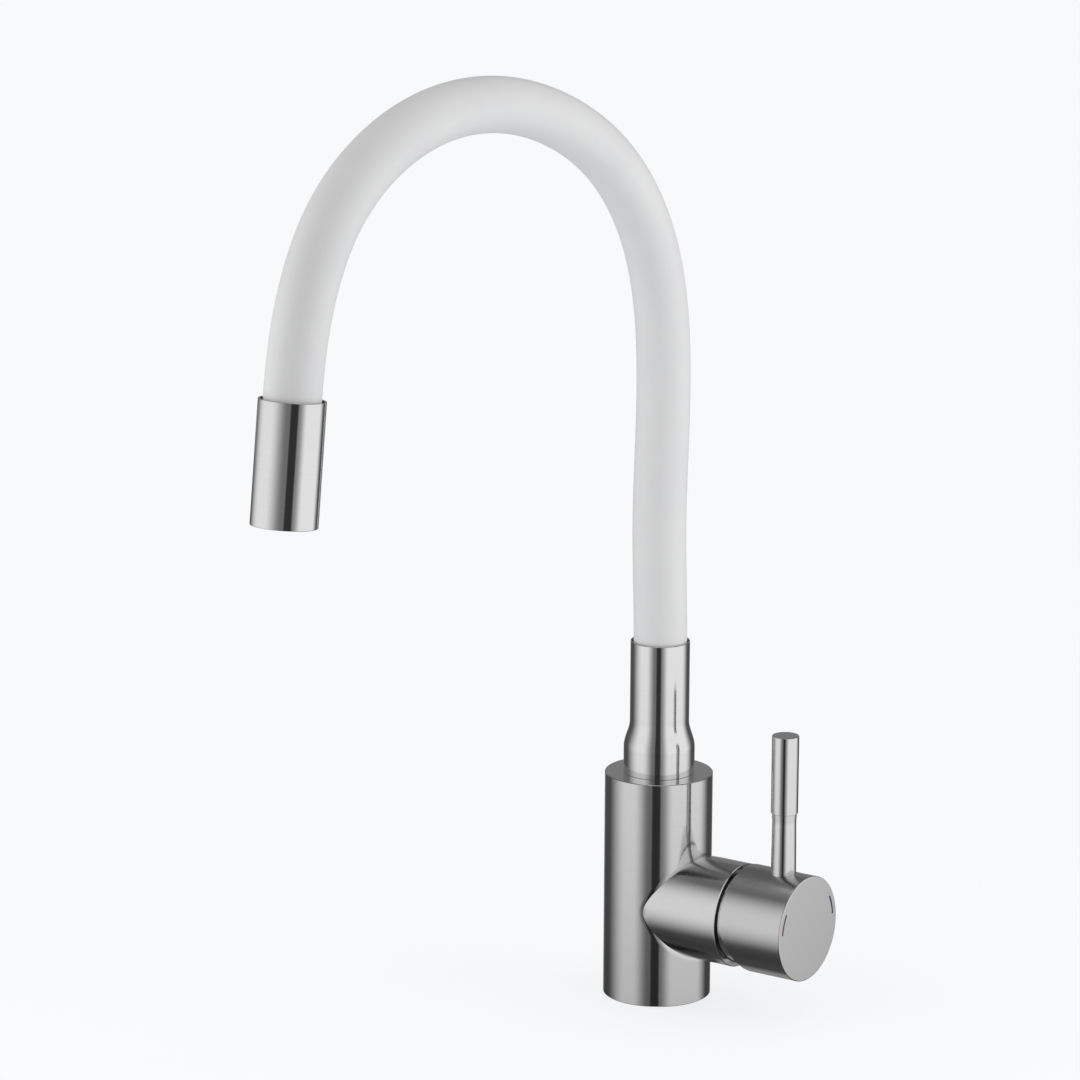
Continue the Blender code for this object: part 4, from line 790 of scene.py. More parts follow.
    def build(self) -> bpy.types.Object:
        """Make the body.

        Returns:
            The new piece.
        """
        skin = Skin()
        mouth = self.branch_reach
        bore = ((self.chamber_radius, self.chamber_seat), (self.chamber_radius, self.recess_floor),
                (self.recess_radius, self.recess_floor), (self.recess_radius, self.counterbore_floor),
                (self.counterbore_radius, self.counterbore_floor), (self.counterbore_radius, mouth),
                (self.branch_radius - self.branch_edge, mouth),
                (self.branch_radius, mouth - self.branch_edge))
        rings = [self.branch_ring(skin, *place) for place in bore[:1]]
        skin.fan(rings[0], (self.chamber_seat, 0.0, BRANCH_HEIGHT))
        rings += [self.branch_ring(skin, *place) for place in bore[1:]]
        rows = self.roll_rows()
        rings += [skin.loop(row) for row in self.branch_rows() + rows]
        rim = self.rim_places()
        inner = [(math.atan2(point.y, point.x), point.z) for point in rows[-1]]
        for step in range(1, self.spread_steps + 1):
            share = step / self.spread_steps
            rings.append(skin.loop([
                self.on_body(near[0] + (far[0] - near[0]) * share, near[1] + (far[1] - near[1]) * share)
                for near, far in zip(inner, rim)]))
        skin.chain(rings)
        self.close(skin, rings[-1])
        body = skin.piece("faucet_body_skin")
        carve(body, self.hole(self.inlet_radius, 0.0, -self.inlet_offset),
              self.hole(self.inlet_radius, 0.0, self.inlet_offset),
              self.hole(self.stud_radius, self.stud_offset, 0.0))
        dress(body, Slot.STEEL, BODY_STEEL, BRANCH_STEEL)
        for face in body.data.polygons:
            face.material_index = int(self.is_branch(face))
        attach(body, "base")
        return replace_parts(body, "faucet_body")

    def hole(self, radius: float, along: float, across: float) -> bpy.types.Object:
        """A cutter for a hole in the underside, offset along X and across it."""
        profile = [(0.0, self.hole_depth), (radius, self.hole_depth), (radius, 0.0), (0.0, 0.0)]
        return turned("cutter", profile, Matrix.Translation((along, across, 0.0)), self.hole_sides)

    def is_branch(self, face: bpy.types.MeshPolygon) -> bool:
        """Whether a face of the finished body belongs to the branch.

        Args:
            face: the face.

        Returns:
            True for the branch.
        """
        here = face.center
        off_axis = math.hypot(here.y, here.z - BRANCH_HEIGHT)
        past_crease = math.hypot(here.x, here.y) > self.radius - self.roll_depth - self.seam
        beside = abs(face.normal.x) < self.side_slant and off_axis < self.side_radius(here.x) + self.seam
        return here.x > self.radius + self.clear_of_side or (here.x > 0.0 and past_crease and beside)

    def close(self, skin: Skin, rim: list[int]) -> None:
        """Add the far half of the side, the top with its socket and the underside.

        Args:
            skin: the surface to add to.
            rim: the ring round the near half of the side.
        """
        quarter = self.around // 4
        half = quarter // 2
        low, high = self.edge, self.height - self.edge
        columns = [[rim[(index - half) % self.around] for index in range(quarter + 1)]]
        for column in range(1, quarter):
            angle = math.pi / 2 + math.pi * column / quarter
            heights = [low + (high - low) * index / quarter for index in range(quarter + 1)]
            columns.append(skin.loop([self.on_body(angle, height) for height in heights]))
        columns.append([rim[half + 2 * quarter - index] for index in range(quarter + 1)])
        skin.chain(columns, closed=False)
        top = [rim[half + index] for index in range(quarter + 1)]
        top += [columns[quarter - index][-1] for index in range(1, quarter)]
        bottom = [rim[(-half - index) % self.around] for index in range(quarter + 1)]
        bottom += [columns[quarter - index][0] for index in range(1, quarter)]
        socket = ((self.radius - self.edge, self.height), (self.socket_radius, self.height),
                  (self.socket_radius, self.socket_floor))
        underside = ((self.radius - self.edge, 0.0), (self.groove_outer, 0.0),
                     (self.groove_outer, self.groove_depth), (self.groove_inner, self.groove_depth),
                     (self.groove_inner, 0.0), (self.relief_radius, 0.0),
                     (self.relief_radius, self.relief_depth))
        for ring, places in ((top, socket), (bottom, underside)):
            rings = [ring] + [self.level_ring(skin, *place) for place in places]
            skin.chain(rings)
            skin.fan(rings[-1], (0.0, 0.0, places[-1][1]))


@dataclass
class Handle:
    """The handle: its cap with two marks, the lever pin on it and the domed collar ring behind it."""

    cap_radius: float = 0.0245
    cap_mouth: float = 0.0497
    cap_face: float = 0.0826
    cap_edge: float = 0.0004
    cap_wall: float = 0.0021
    cap_floor: float = 0.0645
    relief: float = math.radians(20.0)
    mark_radius: float = 0.0214
    mark_width: float = 0.0010
    mark_depth: float = 0.0004
    mark_centre: float = math.radians(18.5)
    mark_half: float = math.radians(13.0)
    mark_steps: int = 24
    mark_sunk: float = 0.00003
    groove_clearance: float = 0.00004
    groove_depth: float = 0.0006
    rear_edge: float = 0.0002
    relief_margin: float = 0.002
    face_turn: float = 0.9
    pin_top: float = 0.1350
    pin_step: float = 0.0985
    pin_grip: float = 0.00623
    pin_neck: float = 0.0057
    pin_stem: float = 0.0055
    pin_foot: float = 0.0058
    pin_taper: float = 0.004
    pin_top_edge: float = 0.0004
    pin_step_edge: float = 0.00015
    pin_stem_edge: float = 0.0005
    cap_sides: int = 192
    pin_sides: int = 96
    saddle_sides: int = 256
    saddle_gap: float = 0.00005
    saddle_back: float = 0.05
    saddle_front: float = 0.09
    pivot: float = 0.044
    collar_radius: float = 0.022
    collar_wall: float = 0.0012
    collar_front: float = 0.012
    collar_steps: int = 16
    skirt_radius: float = 0.02055
    skirt_bore: float = 0.02035
    skirt_back: float = 0.0442
    branch_mouth: float = 0.0473

    def build(self) -> list[bpy.types.Object]:
        """Make the handle's pieces."""
        return [self.cap(), self.mark("hot_mark", -1, SHADED_RED_FILL, Slot.RED),
                self.mark("cold_mark", 1, SHADED_BLUE_FILL, Slot.BLUE), self.pin(), self.collar()]

    def cap(self) -> bpy.types.Object:
        """The cap, cut back at the bottom of its rear edge."""
        bore = self.cap_radius - self.cap_wall
        profile = eased([
            (0.0, self.cap_face, 0.0), (self.cap_radius, self.cap_face, self.cap_edge),
            (self.cap_radius, self.cap_mouth, self.rear_edge), (bore, self.cap_mouth, self.rear_edge),
            (bore, self.cap_floor, 0.0), (0.0, self.cap_floor, 0.0),
        ])
        cap = turned("handle_cap_skin", profile, BRANCH_FRAME, self.cap_sides)
        depth = self.cap_radius + self.relief_margin
        foot = Matrix.Translation((self.cap_mouth, 0.0, BRANCH_HEIGHT))
        relief = block((-depth, -depth, -2 * depth), (0.0, depth, 0.0),
                       foot @ Matrix.Rotation(-self.relief, 4, "Y"))
        grooves = [self.mark_solid(side, self.groove_clearance, self.groove_depth, -self.groove_depth)
                   for side in (-1, 1)]
        carve(cap, relief, *grooves)
        dress(cap, Slot.STEEL, CAP_STEEL_PAINTED_DARKER, FACE_STEEL_PAINTED_LIGHTER)
        for face in cap.data.polygons:
            face.material_index = int(face.normal.x > self.face_turn)
        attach(cap, "lever")
        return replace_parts(cap, "handle_cap")

    def mark_solid(self, side: int, grow: float, above: float, below: float) -> bpy.types.Object:
        """A curved bar at a mark's place.

        Args:
            side: -1 for the hot mark, 1 for the cold one.
            grow: how much wider it is than the mark, all round.
            above: how far it stands out of the cap's face.
            below: how far it goes in, as a negative length.

        Returns:
            The bar.
        """
        half_width = self.mark_width / 2 + grow
        half_angle = self.mark_half + grow / self.mark_radius
        first, last = self.mark_centre - half_angle, self.mark_centre + half_angle
        outline = []
        for radius, start, end in ((self.mark_radius + half_width, first, last),
                                   (self.mark_radius - half_width, last, first)):
            for step in range(self.mark_steps + 1):
                angle = start + (end - start) * step / self.mark_steps
                outline.append((side * radius * math.cos(angle), BRANCH_HEIGHT + radius * math.sin(angle)))
        skin = Skin()
        rows = [skin.loop([(self.cap_face + depth, across, up) for across, up in outline])
                for depth in (above, below)]
        skin.bridge(*rows)
        skin.faces.append(tuple(rows[0]))
        skin.faces.append(tuple(rows[1]))
        return skin.piece("cutter")

    def mark(self, node: str, side: int, finish: MouldedFinish, slot: Slot) -> bpy.types.Object:
        """One of the two enamel marks.

        Args:
            node: the CAD node that it stands for.
            side: -1 for the hot mark, 1 for the cold one.
            finish: its finish.
            slot: its slot.

        Returns:
            The new piece.
        """
        mark = self.mark_solid(side, 0.0, -self.mark_sunk, -self.mark_depth)
        mark.name = mark.data.name = node + "_fill"
        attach(dress(mark, slot, finish), "lever")
        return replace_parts(mark, node)

    def pin(self) -> bpy.types.Object:
        """The lever pin, two diameters with a soft step, saddled on the cap."""
        foot = BRANCH_HEIGHT + self.cap_radius
        sunk = foot - self.pin_foot
        profile = eased([
            (0.0, self.pin_top, 0.0), (self.pin_grip, self.pin_top, self.pin_top_edge),
            (self.pin_grip, self.pin_step, self.pin_step_edge), (self.pin_neck, self.pin_step, 0.0),
            (self.pin_stem, self.pin_step - self.pin_taper, self.pin_stem_edge), (self.pin_foot, foot, 0.0),
            (self.pin_foot, sunk, 0.0), (0.0, sunk, 0.0),
        ])
        pin = turned("lever_pin_skin", profile, Matrix.Translation((PIN_OFFSET, 0.0, 0.0)),
                     self.pin_sides)
        gap, back, front = self.cap_radius + self.saddle_gap, self.saddle_back, self.saddle_front
        saddle = [(0.0, front), (gap, front), (gap, back), (0.0, back)]
        carve(pin, turned("cutter", saddle, BRANCH_FRAME, self.saddle_sides))
        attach(dress(pin, Slot.STEEL, PIN_STEEL_PAINTED_LIGHTER), "lever")
        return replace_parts(pin, "lever_pin")

    def collar(self) -> bpy.types.Object:
        """The domed ring in the gap behind the cap, with its skirt round the nut."""
        inner = self.collar_radius - self.collar_wall
        step_line = self.branch_mouth + self.collar_wall

        def arc(radius: float, start: float, end: float) -> list[tuple[float, float]]:
            """Points of the dome's section, from one height angle to another."""
            turn = (end - start) / self.collar_steps
            angles = [start + turn * step for step in range(self.collar_steps + 1)]
            return [(radius * math.cos(angle), self.pivot + radius * math.sin(angle)) for angle in angles]

        profile = arc(self.collar_radius, math.asin(self.collar_front / self.collar_radius),
                      math.asin((self.branch_mouth - self.pivot) / self.collar_radius))
        profile += [(self.skirt_radius, self.branch_mouth), (self.skirt_radius, self.skirt_back),
                    (self.skirt_bore, self.skirt_back), (self.skirt_bore, step_line - self.collar_wall),
                    (self.skirt_bore - self.collar_wall, step_line - self.collar_wall),
                    (self.skirt_bore - self.collar_wall, step_line)]
        profile += arc(inner, math.asin((step_line - self.pivot) / inner),
                       math.asin(self.collar_front / inner))
        ring = turned("collar_ring_skin", profile, BRANCH_FRAME)
        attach(dress(ring, Slot.STEEL, BRANCH_STEEL), "base")
        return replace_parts(ring, "collar_ring")


@dataclass
class Neck:
    """The bell-shaped neck that the spout stands in."""

    bottom: float = 0.10676
    underside: float = 0.1079
    skirt_bore: float = 0.0162
    top: float = NECK_TOP
    foot_radius: float = 0.01645
    cup_radius: float = 0.0137
    bore: float = 0.0130
    shoulder_bottom: float = 0.1186
    shoulder_top: float = 0.1312
    lip: float = 0.0002
    inner_lip: float = 0.00015
    foot_edge: float = 0.00005
    steps: int = 24

    def build(self) -> list[bpy.types.Object]:
        """Make the neck.

        Returns:
            The new piece, in a list.
        """
        profile = [(self.bore, self.top - self.lip), (self.bore + self.inner_lip, self.top),
                   (self.cup_radius - self.lip, self.top), (self.cup_radius, self.top - self.lip)]
        for step in range(self.steps + 1):
            share = step / self.steps
            flare = (1 - math.cos(math.pi * share)) / 2
            radius = self.cup_radius + (self.foot_radius - self.cup_radius) * flare
            profile.append((radius, self.shoulder_top + (self.shoulder_bottom - self.shoulder_top) * share))
        profile += [(self.foot_radius, self.bottom + self.foot_edge),
                    (self.foot_radius - self.foot_edge, self.bottom),
                    (self.skirt_bore, self.bottom), (self.skirt_bore, self.underside),
                    (self.bore, self.underside)]
        neck = turned("neck_skin", profile)
        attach(dress(neck, Slot.STEEL, NECK_STEEL_PAINTED_LIGHTER), "spout_base")
        return [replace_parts(neck, "neck")]


class HoseRoute:
    """The hose's centre line in the plane X = 0, by the distance from the sleeve's lower end."""

    RISE = 0.2678
    ROUTE_SHARES = (
        (0.0, 0.0), (0.0065, 0.197), (-0.0012, 0.436), (0.0335, 0.675), (0.126, 0.822), (0.303, 0.943),
        (0.530, 1.0), (0.753, 0.968), (0.902, 0.867), (0.979, 0.716), (1.0, 0.604),
    )
    START = 0.1273
    HEAD_DEPTH = 0.0337
    STEPS_PER_SPAN = 40

    def __init__(self) -> None:
        """Work out the line."""
        knots = np.array([(-SPOUT_REACH * out, NECK_TOP + self.RISE * up) for out, up in self.ROUTE_SHARES])
        head_way = np.array((-math.sin(HEAD_TILT), -math.cos(HEAD_TILT)))
        free = self.smooth_curve(knots, np.array((0.0, 1.0)), head_way)
        end = free[-1] + head_way * self.HEAD_DEPTH
        self.points = np.vstack(((0.0, self.START), free, end))
        steps = np.linalg.norm(np.diff(self.points, axis=0), axis=1)
        self.distances = np.concatenate(((0.0,), np.cumsum(steps)))
        self.length = float(self.distances[-1])
        self.neck_rim = NECK_TOP - self.START
        self.head_rim = self.length - self.HEAD_DEPTH
        ways = np.gradient(self.points, self.distances, axis=0)
        self.ways = ways / np.linalg.norm(ways, axis=1)[:, None]

    @classmethod
    def smooth_curve(cls, knots: np.ndarray, first_slope: np.ndarray, last_slope: np.ndarray) -> np.ndarray:
        """A curve of even bending through the knots.

        Args:
            knots: the places that it goes through.
            first_slope: its direction at the first.
            last_slope: its direction at the last.

        Returns:
            Close points on it.
        """
        chords = np.linalg.norm(np.diff(knots, axis=0), axis=1)
        count = len(knots)
        system = np.eye(count)
        known = np.zeros((count, 2))
        known[0], known[-1] = first_slope, last_slope
        for index in range(1, count - 1):
            before, after = chords[index - 1], chords[index]
            system[index, index - 1:index + 2] = (after, 2 * (before + after), before)
            known[index] = 3 * (after * (knots[index] - knots[index - 1]) / before
                                + before * (knots[index + 1] - knots[index]) / after)
        slopes = np.linalg.solve(system, known)
        points = [knots[0]]
        for index, chord in enumerate(chords):
            for step in range(1, cls.STEPS_PER_SPAN + 1):
                part = step / cls.STEPS_PER_SPAN
                rest = 1.0 - part
                straight = (rest * rest * (1 + 2 * part) * knots[index]
                            + part * part * (3 - 2 * part) * knots[index + 1])
                bend = rest * slopes[index] - part * slopes[index + 1]
                points.append(straight + chord * part * rest * bend)
        return np.array(points)

    def look_up(self, rows: np.ndarray, distance: float) -> Vector:
        """The value of a table of (out, up) rows at a distance along the line."""
        return Vector((0.0, *(float(np.interp(distance, self.distances, column)) for column in rows.T)))

    def at(self, distance: float) -> Vector:
        """The point at a distance along the line."""
        return self.look_up(self.points, distance)

    def way(self, distance: float) -> Vector:
        """The line's direction at a distance along it."""
        return self.look_up(self.ways, distance).normalized()


@dataclass(frozen=True)
class Layer:
    """One of the hose's layers: a tube that may have a groove wound round it."""

    name: str
    finish: MetalFinish | MouldedFinish
    slot: Slot
    radius: float
    wall: float
    sides: int
    ring_pitch: float
    groove_pitch: float = 0.0
    groove_depth: float = 0.0
    groove_share: float = 0.3

    def outer(self, distance: float, angle: float) -> float:
        """Its outer radius at a distance along the hose and an angle round it."""
        if not self.groove_pitch:
            return self.radius
        turn = (distance / self.groove_pitch - angle / (2 * math.pi)) % 1.0
        inside = max(0.0, 1.0 - abs(turn - 0.5) / (self.groove_share / 2))
        return self.radius - self.groove_depth * min(1.0, 2 * inside)


@dataclass
class Hose:
    """The silicone sleeve, the wound gooseneck and the water tube, in lengths that each cross one bend."""

    sleeve: Layer = Layer("sleeve", WHITE_SILICONE, Slot.SILICONE, 0.01232, 0.0013, 72, 0.002)
    gooseneck: Layer = Layer("gooseneck", SLOT_FINISHES[Slot.SPRING], Slot.SPRING, 0.0098, 0.0020, 40, 0.0008,
                             0.0048, 0.0006)
    tube: Layer = Layer("water_tube", SLOT_FINISHES[Slot.TUBE], Slot.TUBE, 0.0060, 0.0014, 28, 0.003)
    bends: int = 6
    reach: float = 0.030
    chain: tuple[str, ...] = ("spout_base", "hose_2", "hose_3", "hose_4", "hose_5", "hose_6", "head")

    def build(self) -> list[bpy.types.Object]:
        """Make the layers' lengths.

        Returns:
            The new pieces.
        """
        route = HoseRoute()
        pitch = (route.head_rim - route.neck_rim) / self.bends
        bends = [route.neck_rim + pitch * (index + 0.5) for index in range(self.bends)]
        cuts = [0.0] + [(a + b) / 2 for a, b in zip(bends, bends[1:])] + [route.length]
        pieces = []
        for index, bend in enumerate(bends):
            lengths = (f"gooseneck_{index + 1}", f"gooseneck_{index + 2}")
            for layer, nodes in ((self.sleeve, ("hose_sleeve",)), (self.gooseneck, lengths),
                                 (self.tube, ("water_tube",))):
                piece = self.length_of(layer, index + 1, route, cuts[index], cuts[index + 1])
                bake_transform(piece)
                pieces.append(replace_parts(piece, *nodes))
        return pieces

    @staticmethod
    def length_of(layer: Layer, number: int, route: HoseRoute, start: float, end: float) -> bpy.types.Object:
        """One length of a layer.

        Args:
            layer: the layer.
            number: the length's number.
            route: the hose's line.
            start: the distance where it starts.
            end: the distance where it ends.

        Returns:
            The new piece.
        """
        skin = Skin()
        count = math.ceil((end - start) / layer.ring_pitch)
        angles = [2 * math.pi * side / layer.sides for side in range(layer.sides)]
        outer, inner = [], []
        for step in range(count + 1):
            distance = start + (end - start) * step / count
            centre, way = route.at(distance), route.way(distance)
            side, up = Vector((1.0, 0.0, 0.0)), Vector((0.0, -way.z, way.y))
            ring = [side * math.cos(angle) + up * math.sin(angle) for angle in angles]
            outer.append(skin.loop([centre + out * layer.outer(distance, angle)
                                    for out, angle in zip(ring, angles)]))
            inner.append(skin.loop([centre + out * (layer.radius - layer.wall) for out in ring]))
        skin.chain(outer)
        skin.chain(inner)
        skin.bridge(outer[0], inner[0])
        skin.bridge(outer[-1], inner[-1])
        return dress(skin.piece(f"{layer.name}_length_{number}", sharp=50.0), layer.slot, layer.finish)


@dataclass
class Head:
    """The spray head's shell."""

    radius: float = 0.0144
    length: float = 0.0532
    wall: float = 0.00095
    lower_bore: float = 0.0123
    ledge: float = 0.040
    edge: float = 0.0002
    outlet_edge: float = 0.0003

    def build(self) -> list[bpy.types.Object]:
        """Make the head's pieces.

        Returns:
            The new pieces.
        """
        bore = self.radius - self.wall
        profile = eased([
            (bore, 0.0, self.edge), (self.radius, 0.0, self.edge),
            (self.radius, -self.length, self.outlet_edge), (self.lower_bore, -self.length, self.edge),
            (self.lower_bore, -self.ledge, 0.0), (bore, -self.ledge, 0.0),
        ])
        rim = Matrix.Translation((0.0, -SPOUT_REACH, HEAD_RIM_HEIGHT))
        shell = turned("head_shell_skin", profile, rim @ Matrix.Rotation(-HEAD_TILT, 4, "X"))
        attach(dress(shell, Slot.STEEL, HEAD_STEEL_PAINTED_LIGHTER), "head")
        return [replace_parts(shell, "head_shell")]


# Studio


@dataclass(frozen=True)
class Edge:
    """A soft edge in the light: from its start to its end, the brightness goes over to a new level."""

    start: float
    end: float
    level: float


@dataclass(frozen=True)
class Lamp:
    """A soft lamp for what is matt; its azimuth is in degrees from the camera's side, its power in watts."""

    name: str
    azimuth: float
    distance: float
    width: float
    height: float
    power: float


@dataclass
class Studio:
    """A pale floor, soft boxes, the world and the camera at the photograph's angle."""

    backdrop: Colour = (0.9387, 0.9473, 0.9647)
    floor_reach: float = 40.0
    floor_light: float = 0.76
    level: float = 0.63
    lamps: tuple[Lamp, ...] = (
        Lamp("left_lamp", -85.0, 0.65, 0.5, 0.7, 1.32), Lamp("right_lamp", 80.0, 1.0, 0.8, 1.0, 3.61))
    lamp_aim: tuple[float, float, float] = (0.02, -0.14, 0.3)
    lamp_foot: float = 0.02
    floor_drop: float = -0.0002
    floor_middle: tuple[float, float, float] = (0.02, -0.1, 0.0)
    shadow_near: float = 0.15
    shadow_far: float = 0.8
    shadow_share: float = 0.24
    lens: float = 187.99
    sensor: float = 36.0
    roll: float = math.radians(0.333)
    pitch: float = math.radians(13.702)
    place: tuple[float, float, float] = (1.3894, -2.0923, 0.8284)
    drum_radius: float = 0.66
    drum_foot: float = -1.14
    drum_height: float = 2.43
    drum_sides: int = 128
    drum_end: float = 0.001
    lid: float = 0.42
    base: float = 0.10
    back: float = 0.35
    back_cosines: tuple[float, float] = (-0.866, -1.0)
    back_heights: tuple[float, float] = (0.08, 0.2)
    dark: float = 0.10
    boxes: tuple[Edge, ...] = (
        Edge(-130.0, -72.0, 1.04), Edge(-54.0, -20.0, 0.21), Edge(-16.0, -13.0, 0.04), Edge(1.5, 5.0, 0.30),
        Edge(5.0, 31.0, 1.08), Edge(92.0, 130.0, 0.10))
    foot_level: float = 0.08
    heights: tuple[Edge, ...] = (Edge(-0.62, 0.05, 1.0), Edge(0.25, 1.2, 0.10))
    behind_cosines: tuple[float, float] = (0.75, 0.0)
    behind_level: float = 0.05
    behind: tuple[Edge, ...] = (Edge(0.05, 0.25, 0.28), Edge(0.26, 0.45, 0.16))

    def build(self) -> None:
        """Set up the camera, the floor, the lamps, the soft boxes and the world."""
        self.camera()
        self.floor()
        for lamp in self.lamps:
            self.light(lamp)
        self.drum()
        self.world()
        bpy.context.scene.view_settings.view_transform = "Standard"

    def camera(self) -> None:
        """Make the camera."""
        data = bpy.data.cameras.new("camera")
        data.lens = self.lens
        data.sensor_width = self.sensor
        camera = stand("camera", data)
        bpy.context.scene.camera = camera
        flat = Vector((math.sin(VIEW_AZIMUTH), -math.cos(VIEW_AZIMUTH), 0.0))
        ahead = -flat * math.cos(self.pitch) - Vector((0.0, 0.0, math.sin(self.pitch)))
        level = Vector((math.cos(VIEW_AZIMUTH), math.sin(VIEW_AZIMUTH), 0.0))
        above = level.cross(ahead)
        across = level * math.cos(self.roll) + above * math.sin(self.roll)
        up = above * math.cos(self.roll) - level * math.sin(self.roll)
        turn = Matrix((across, up, -ahead)).transposed().to_4x4()
        camera.matrix_world = Matrix.Translation(self.place) @ turn

    def light(self, lamp: Lamp) -> None:
        """Stand a lamp on the floor, looking at the faucet.

        Args:
            lamp: the lamp.
        """
        data = bpy.data.lights.new(lamp.name, "AREA")
        data.shape = "RECTANGLE"
        data.size, data.size_y = lamp.width, lamp.height
        data.energy = lamp.power
        angle = VIEW_AZIMUTH + math.radians(lamp.azimuth)
        aim = Vector(self.lamp_aim)
        stood = stand(lamp.name, data)
        stood.location = Vector((aim.x, aim.y, lamp.height / 2 + self.lamp_foot))
        stood.location += Vector((math.sin(angle), -math.cos(angle), 0.0)) * lamp.distance
        stood.rotation_euler = (aim - stood.location).to_track_quat("-Z", "Y").to_euler()
        stood.visible_camera = stood.visible_glossy = False

    @staticmethod
    def blank(owner: bpy.types.Material | bpy.types.World) -> Graph:
        """Empty the node tree of a staging material or of the world.

        Args:
            owner: the material or world.

        Returns:
            Its graph.
        """
        owner.use_nodes = True
        owner.node_tree.nodes.clear()
        return Graph(owner.node_tree)

    def floor(self) -> None:
        """Lay the floor, which shows the backdrop's colour and keeps a soft shadow."""
        mesh = bpy.data.meshes.new("floor")
        corners = [(x * self.floor_reach, y * self.floor_reach, self.floor_drop)
                   for x, y in ((-1, -1), (1, -1), (1, 1), (-1, 1))]
        mesh.from_pydata(corners, [], [(0, 1, 2, 3)])
        floor = stand("floor", mesh)
        floor.visible_glossy = False
        material = bpy.data.materials.new("pale_floor")
        graph = self.blank(material)
        place = graph.add("ShaderNodeTexCoord").outputs["Object"]
        near = graph.vector("SUBTRACT", place, self.floor_middle)
        distance = graph.vector("LENGTH", near, out="Value")
        keep = graph.ramp(distance, self.shadow_near, self.shadow_far, self.shadow_share, 0.0)
        rest = graph.sum("SUBTRACT", 1.0, keep)
        shown = graph.sum("MULTIPLY", graph.add("ShaderNodeLightPath").outputs["Is Camera Ray"], rest)
        lift = graph.sum("DIVIDE", graph.sum("MULTIPLY_ADD", keep, -self.floor_light, 1.0), rest)
        diffuse = graph.add("ShaderNodeBsdfDiffuse", {"Color": (*self.backdrop, 1.0)}).outputs[0]
        glow = graph.add("ShaderNodeEmission", {"Color": (*self.backdrop, 1.0), "Strength": lift}).outputs[0]
        mix = graph.add("ShaderNodeMixShader", {0: shown, 1: diffuse, 2: glow}).outputs[0]
        graph.add("ShaderNodeOutputMaterial", {"Surface": mix})
        mesh.materials.append(material)

    def drum(self) -> None:
        """Stand the soft boxes and dark flags round the faucet, for polished metal to mirror."""
        skin = Skin()
        angles = [2 * math.pi * side / self.drum_sides for side in range(self.drum_sides)]
        top = self.drum_foot + self.drum_height
        rings = [skin.loop([(self.drum_radius * math.sin(a), -self.drum_radius * math.cos(a), height)
                            for a in angles]) for height in (self.drum_foot, top)]
        skin.bridge(*rings)
        skin.fan(rings[0], (0.0, 0.0, self.drum_foot))
        skin.fan(rings[1], (0.0, 0.0, top))
        drum = skin.piece("light_drum")
        material = bpy.data.materials.new("soft_boxes")
        graph = self.blank(material)
        place = graph.add("ShaderNodeTexCoord").outputs["Object"]
        x, y, z = graph.add("ShaderNodeSeparateXYZ", {0: place}).outputs
        turn = graph.sum("SUBTRACT", graph.sum("ARCTAN2", x, graph.sum("MULTIPLY", y, -1.0)), VIEW_AZIMUTH)
        share = graph.sum("FRACT", graph.sum("MULTIPLY_ADD", turn, 1 / (2 * math.pi), 1.5))
        azimuth = graph.sum("MULTIPLY_ADD", share, 360.0, -180.0)
        sides = graph.sum("MULTIPLY", self.edged(graph, azimuth, self.dark, self.boxes),
                          self.edged(graph, z, self.foot_level, self.heights))
        facing = graph.sum("COSINE", turn)
        behind = graph.sum("MULTIPLY", graph.ramp(facing, *self.behind_cosines),
                           self.edged(graph, z, self.behind_level, self.behind))
        back = graph.sum("MULTIPLY", graph.ramp(facing, *self.back_cosines),
                         graph.ramp(z, *self.back_heights, self.back, 0.0))
        lid = graph.sum("MULTIPLY", graph.sum("GREATER_THAN", z, top - self.drum_end), self.lid)
        base = graph.sum("MULTIPLY", graph.sum("LESS_THAN", z, self.drum_foot + self.drum_end), self.base)
        low = graph.sum("MAXIMUM", back, graph.sum("ADD", lid, base))
        level = graph.sum("MAXIMUM", graph.sum("MAXIMUM", sides, behind), low)
        glow = graph.add("ShaderNodeEmission", {"Color": (1.0, 1.0, 1.0, 1.0), "Strength": level})
        graph.add("ShaderNodeOutputMaterial", {"Surface": glow.outputs[0]})
        material.cycles.emission_sampling = "NONE"
        drum.data.materials.append(material)
        drum.visible_camera = drum.visible_diffuse = drum.visible_transmission = drum.visible_shadow = False

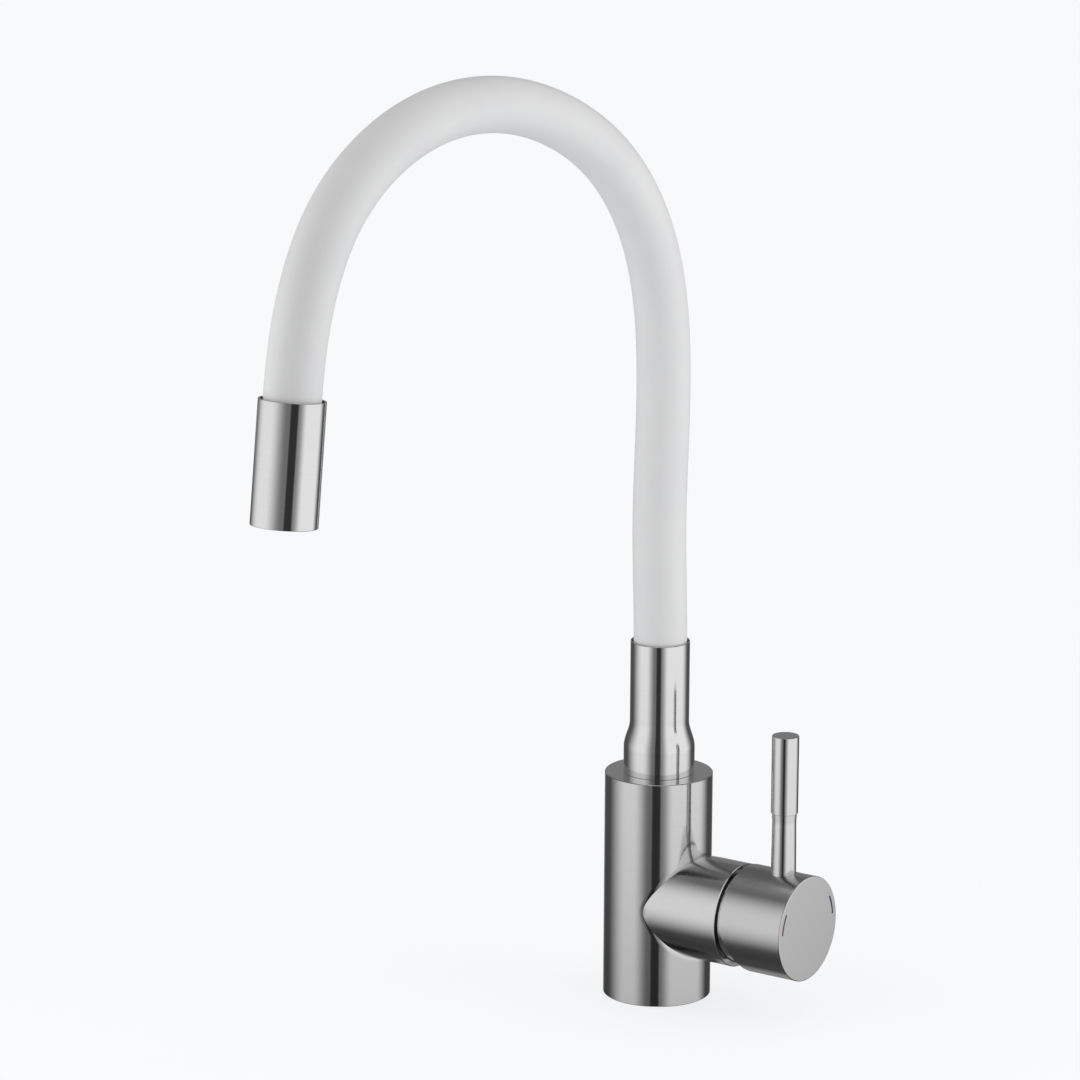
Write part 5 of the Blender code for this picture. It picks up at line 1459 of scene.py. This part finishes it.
    @staticmethod
    def edged(graph: Graph, place: bpy.types.NodeSocket, first: float, edges: Sequence[Edge]
              ) -> bpy.types.NodeSocket:
        """A brightness that changes at soft edges along a scale.

        Args:
            graph: the graph to add to.
            place: the place on the scale.
            first: the brightness before the first edge.
            edges: the edges, in order.

        Returns:
            The brightness.
        """
        levels = [first] + [edge.level for edge in edges]
        total = first
        for before, edge in zip(levels, edges):
            total = graph.sum("ADD", total, graph.ramp(place, edge.start, edge.end, 0.0, edge.level - before))
        return total

    def world(self) -> None:
        """Set the world: an even light on the faucet, and the pale backdrop for what is seen or mirrored."""
        world = bpy.data.worlds.new("studio")
        bpy.context.scene.world = world
        world.cycles.sampling_method = "NONE"
        graph = self.blank(world)
        rays = graph.add("ShaderNodeLightPath").outputs
        mirrored = graph.sum("MAXIMUM", rays["Is Glossy Ray"], rays["Is Transmission Ray"])
        seen = graph.sum("MAXIMUM", rays["Is Camera Ray"], mirrored)
        light = graph.add("ShaderNodeBackground", {"Color": (1.0, 1.0, 1.0, 1.0), "Strength": self.level})
        backdrop = graph.add("ShaderNodeBackground", {"Color": (*self.backdrop, 1.0)}).outputs[0]
        mix = graph.add("ShaderNodeMixShader", {0: seen, 1: light.outputs[0], 2: backdrop}).outputs[0]
        graph.add("ShaderNodeOutputWorld", {"Surface": mix})


def dress_nodes(frame: dict) -> None:
    """Give every CAD node the finish of its slot.
    """
    for row in frame["record"]["subparts"]:
        node = frame["nodes"][row["node"]]
        slot = Slot(row["material_slot"])
        node.data.materials.clear()
        node.data.materials.append(Paint.of(SLOT_FINISHES[slot]))


def main() -> None:
    """Build the faucet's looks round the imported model."""
    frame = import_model()
    dress_nodes(frame)
    pieces = [FaucetBody().build(), *Handle().build(), *Neck().build(), *Hose().build(), *Head().build()]
    for piece in pieces:
        LOG.info("made %s with %d faces", piece.name, len(piece.data.polygons))
    Studio().build()


if __name__ == "__main__":
    logging.basicConfig(level=logging.INFO, format="%(name)s: %(message)s")
    main()
